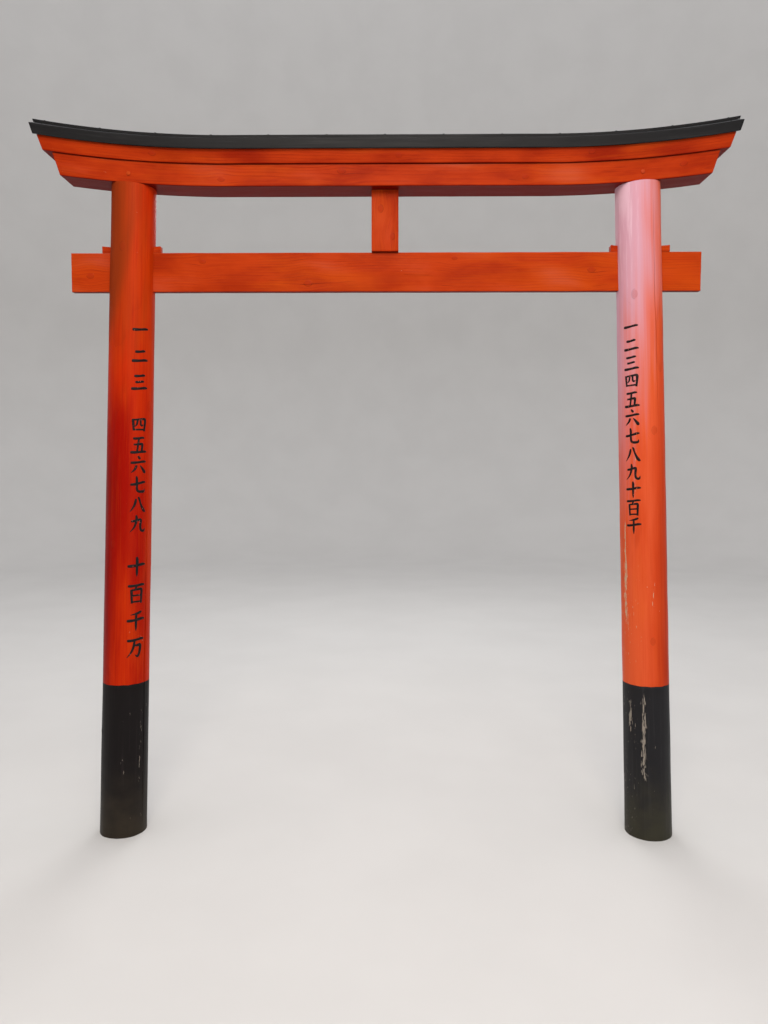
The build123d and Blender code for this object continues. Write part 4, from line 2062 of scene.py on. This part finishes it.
@dataclass
class Studio:
    """The camera, the floor and the lights."""

    centre_x: float
    eye: tuple[float, float, float] = (1.10, -3.26, 1.51)
    yaw: float = math.radians(0.6)
    pitch: float = math.radians(-3.7)
    lens: float = 38.5
    film_width: float = 36.0
    frame_shape: float = 1024 / 768
    floor_radius: float = 9.0
    floor_steps: int = 96
    cove_radius: float = 4.0
    cove_steps: int = 16
    wall_height: float = 13.0
    aim_height: float = 1.3
    room: str = "#EDEEF2"
    room_strength: float = 1.35
    lights: tuple[SoftLight, ...] = (
        SoftLight("key_light", (1.05, -3.8, 4.6), 2.0, 150, "#FFF6EC"),
        SoftLight("fill_light", (3.8, -4.4, 2.2), 3.0, 30, "#EEF3FF"),
        SoftLight("back_light", (1.1, 4.2, 4.6), 2.4, 80),
    )

    def add_camera(self) -> None:
        """Adds the camera at the photograph's eye height and angle."""
        data = bpy.data.cameras.new("camera")
        data.sensor_fit = "AUTO"
        data.sensor_width = self.film_width * self.frame_shape
        data.lens = self.lens
        data.dof.use_dof = False
        camera = bpy.data.objects.new("camera", data)
        camera.location = self.eye
        camera.rotation_euler = (math.pi / 2 + self.pitch, 0, self.yaw)
        bpy.context.scene.collection.objects.link(camera)
        bpy.context.scene.camera = camera

    def add_floor(self) -> None:
        """Adds the pale floor, which curves up into a round wall without a visible corner."""
        shape = bmesh.new()
        middle = shape.verts.new((0, 0, 0))
        edge = shape.verts.new((self.floor_radius, 0, 0))
        shape.edges.new((middle, edge))
        bmesh.ops.spin(
            shape, geom=[edge], cent=(self.floor_radius, 0, self.cove_radius), axis=(0, -1, 0),
            angle=math.pi / 2, steps=self.cove_steps,
        )
        wall_foot = max(shape.verts, key=lambda vert: vert.co.z)
        wall_top = shape.verts.new(wall_foot.co + Vector((0, 0, self.wall_height - self.cove_radius)))
        shape.edges.new((wall_foot, wall_top))
        bmesh.ops.spin(
            shape, geom=shape.verts[:] + shape.edges[:], cent=(0, 0, 0), axis=(0, 0, 1),
            angle=2 * math.pi, steps=self.floor_steps, use_merge=True,
        )
        bmesh.ops.remove_doubles(shape, verts=shape.verts[:], dist=1e-4)
        bmesh.ops.translate(shape, verts=shape.verts[:], vec=(self.centre_x, 0, 0))
        bmesh.ops.recalc_face_normals(shape, faces=shape.faces[:])
        bmesh.ops.reverse_faces(shape, faces=shape.faces[:])
        mesh = finish_mesh(shape, "studio_floor")
        mesh.materials.append(PaleFloor().build())
        floor = bpy.data.objects.new("studio_floor", mesh)
        bpy.context.scene.collection.objects.link(floor)

    def add_world(self) -> None:
        """Adds the even light of a pale room."""
        world = bpy.data.worlds.new("pale_room")
        world.use_nodes = True
        tree = world.node_tree
        tree.nodes.clear()
        room = add_node(tree, "ShaderNodeBackground", None, {
            "Color": linear(self.room), "Strength": self.room_strength,
        })
        add_node(tree, "ShaderNodeOutputWorld", None, {"Surface": room.outputs[0]})
        bpy.context.scene.world = world

    def build(self) -> None:
        """Sets up the whole studio."""
        self.add_camera()
        self.add_floor()
        self.add_world()
        for light in self.lights:
            light.hang(Vector((self.centre_x, 0, self.aim_height)))
        bpy.context.scene.view_settings.view_transform = "Standard"
        log.info("studio: camera, floor and lights")


@dataclass
class Gate:
    """The whole gate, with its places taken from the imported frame."""

    mortise_clearance: float = 0.0005

    def __post_init__(self) -> None:
        """Reads the levels and places that the sub-assemblies share, and sets them out."""
        tie_low, tie_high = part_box("tie_beam")
        foot_radius = -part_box("left_post")[0].x
        right_foot_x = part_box("right_post")[1].x - foot_radius
        self.centre_x = right_foot_x / 2
        camber = Camber(self.centre_x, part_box("lower_lintel")[0].z)
        mortise = WedgedMortise(
            tie_low.z, tie_high.z, tie_high.y - tie_low.y + 2 * self.mortise_clearance
        )
        self.parts = (
            Posts(camber, mortise, foot_radius, right_foot_x),
            TieBeam(tie_low, tie_high, mortise),
            CentreStrut(tie_high.z, camber.seat),
            Lintels(camber),
            BoardedTop(camber),
        )

    def build(self) -> None:
        """Builds every sub-assembly in order, from the ground up."""
        finishes = Finishes()
        for part in self.parts:
            part.build(finishes)


def main() -> None:
    gate = Gate()
    Studio(gate.centre_x).build()
    gate.build()
    bpy.context.view_layer.update()


if __name__ == "__main__":
    main()
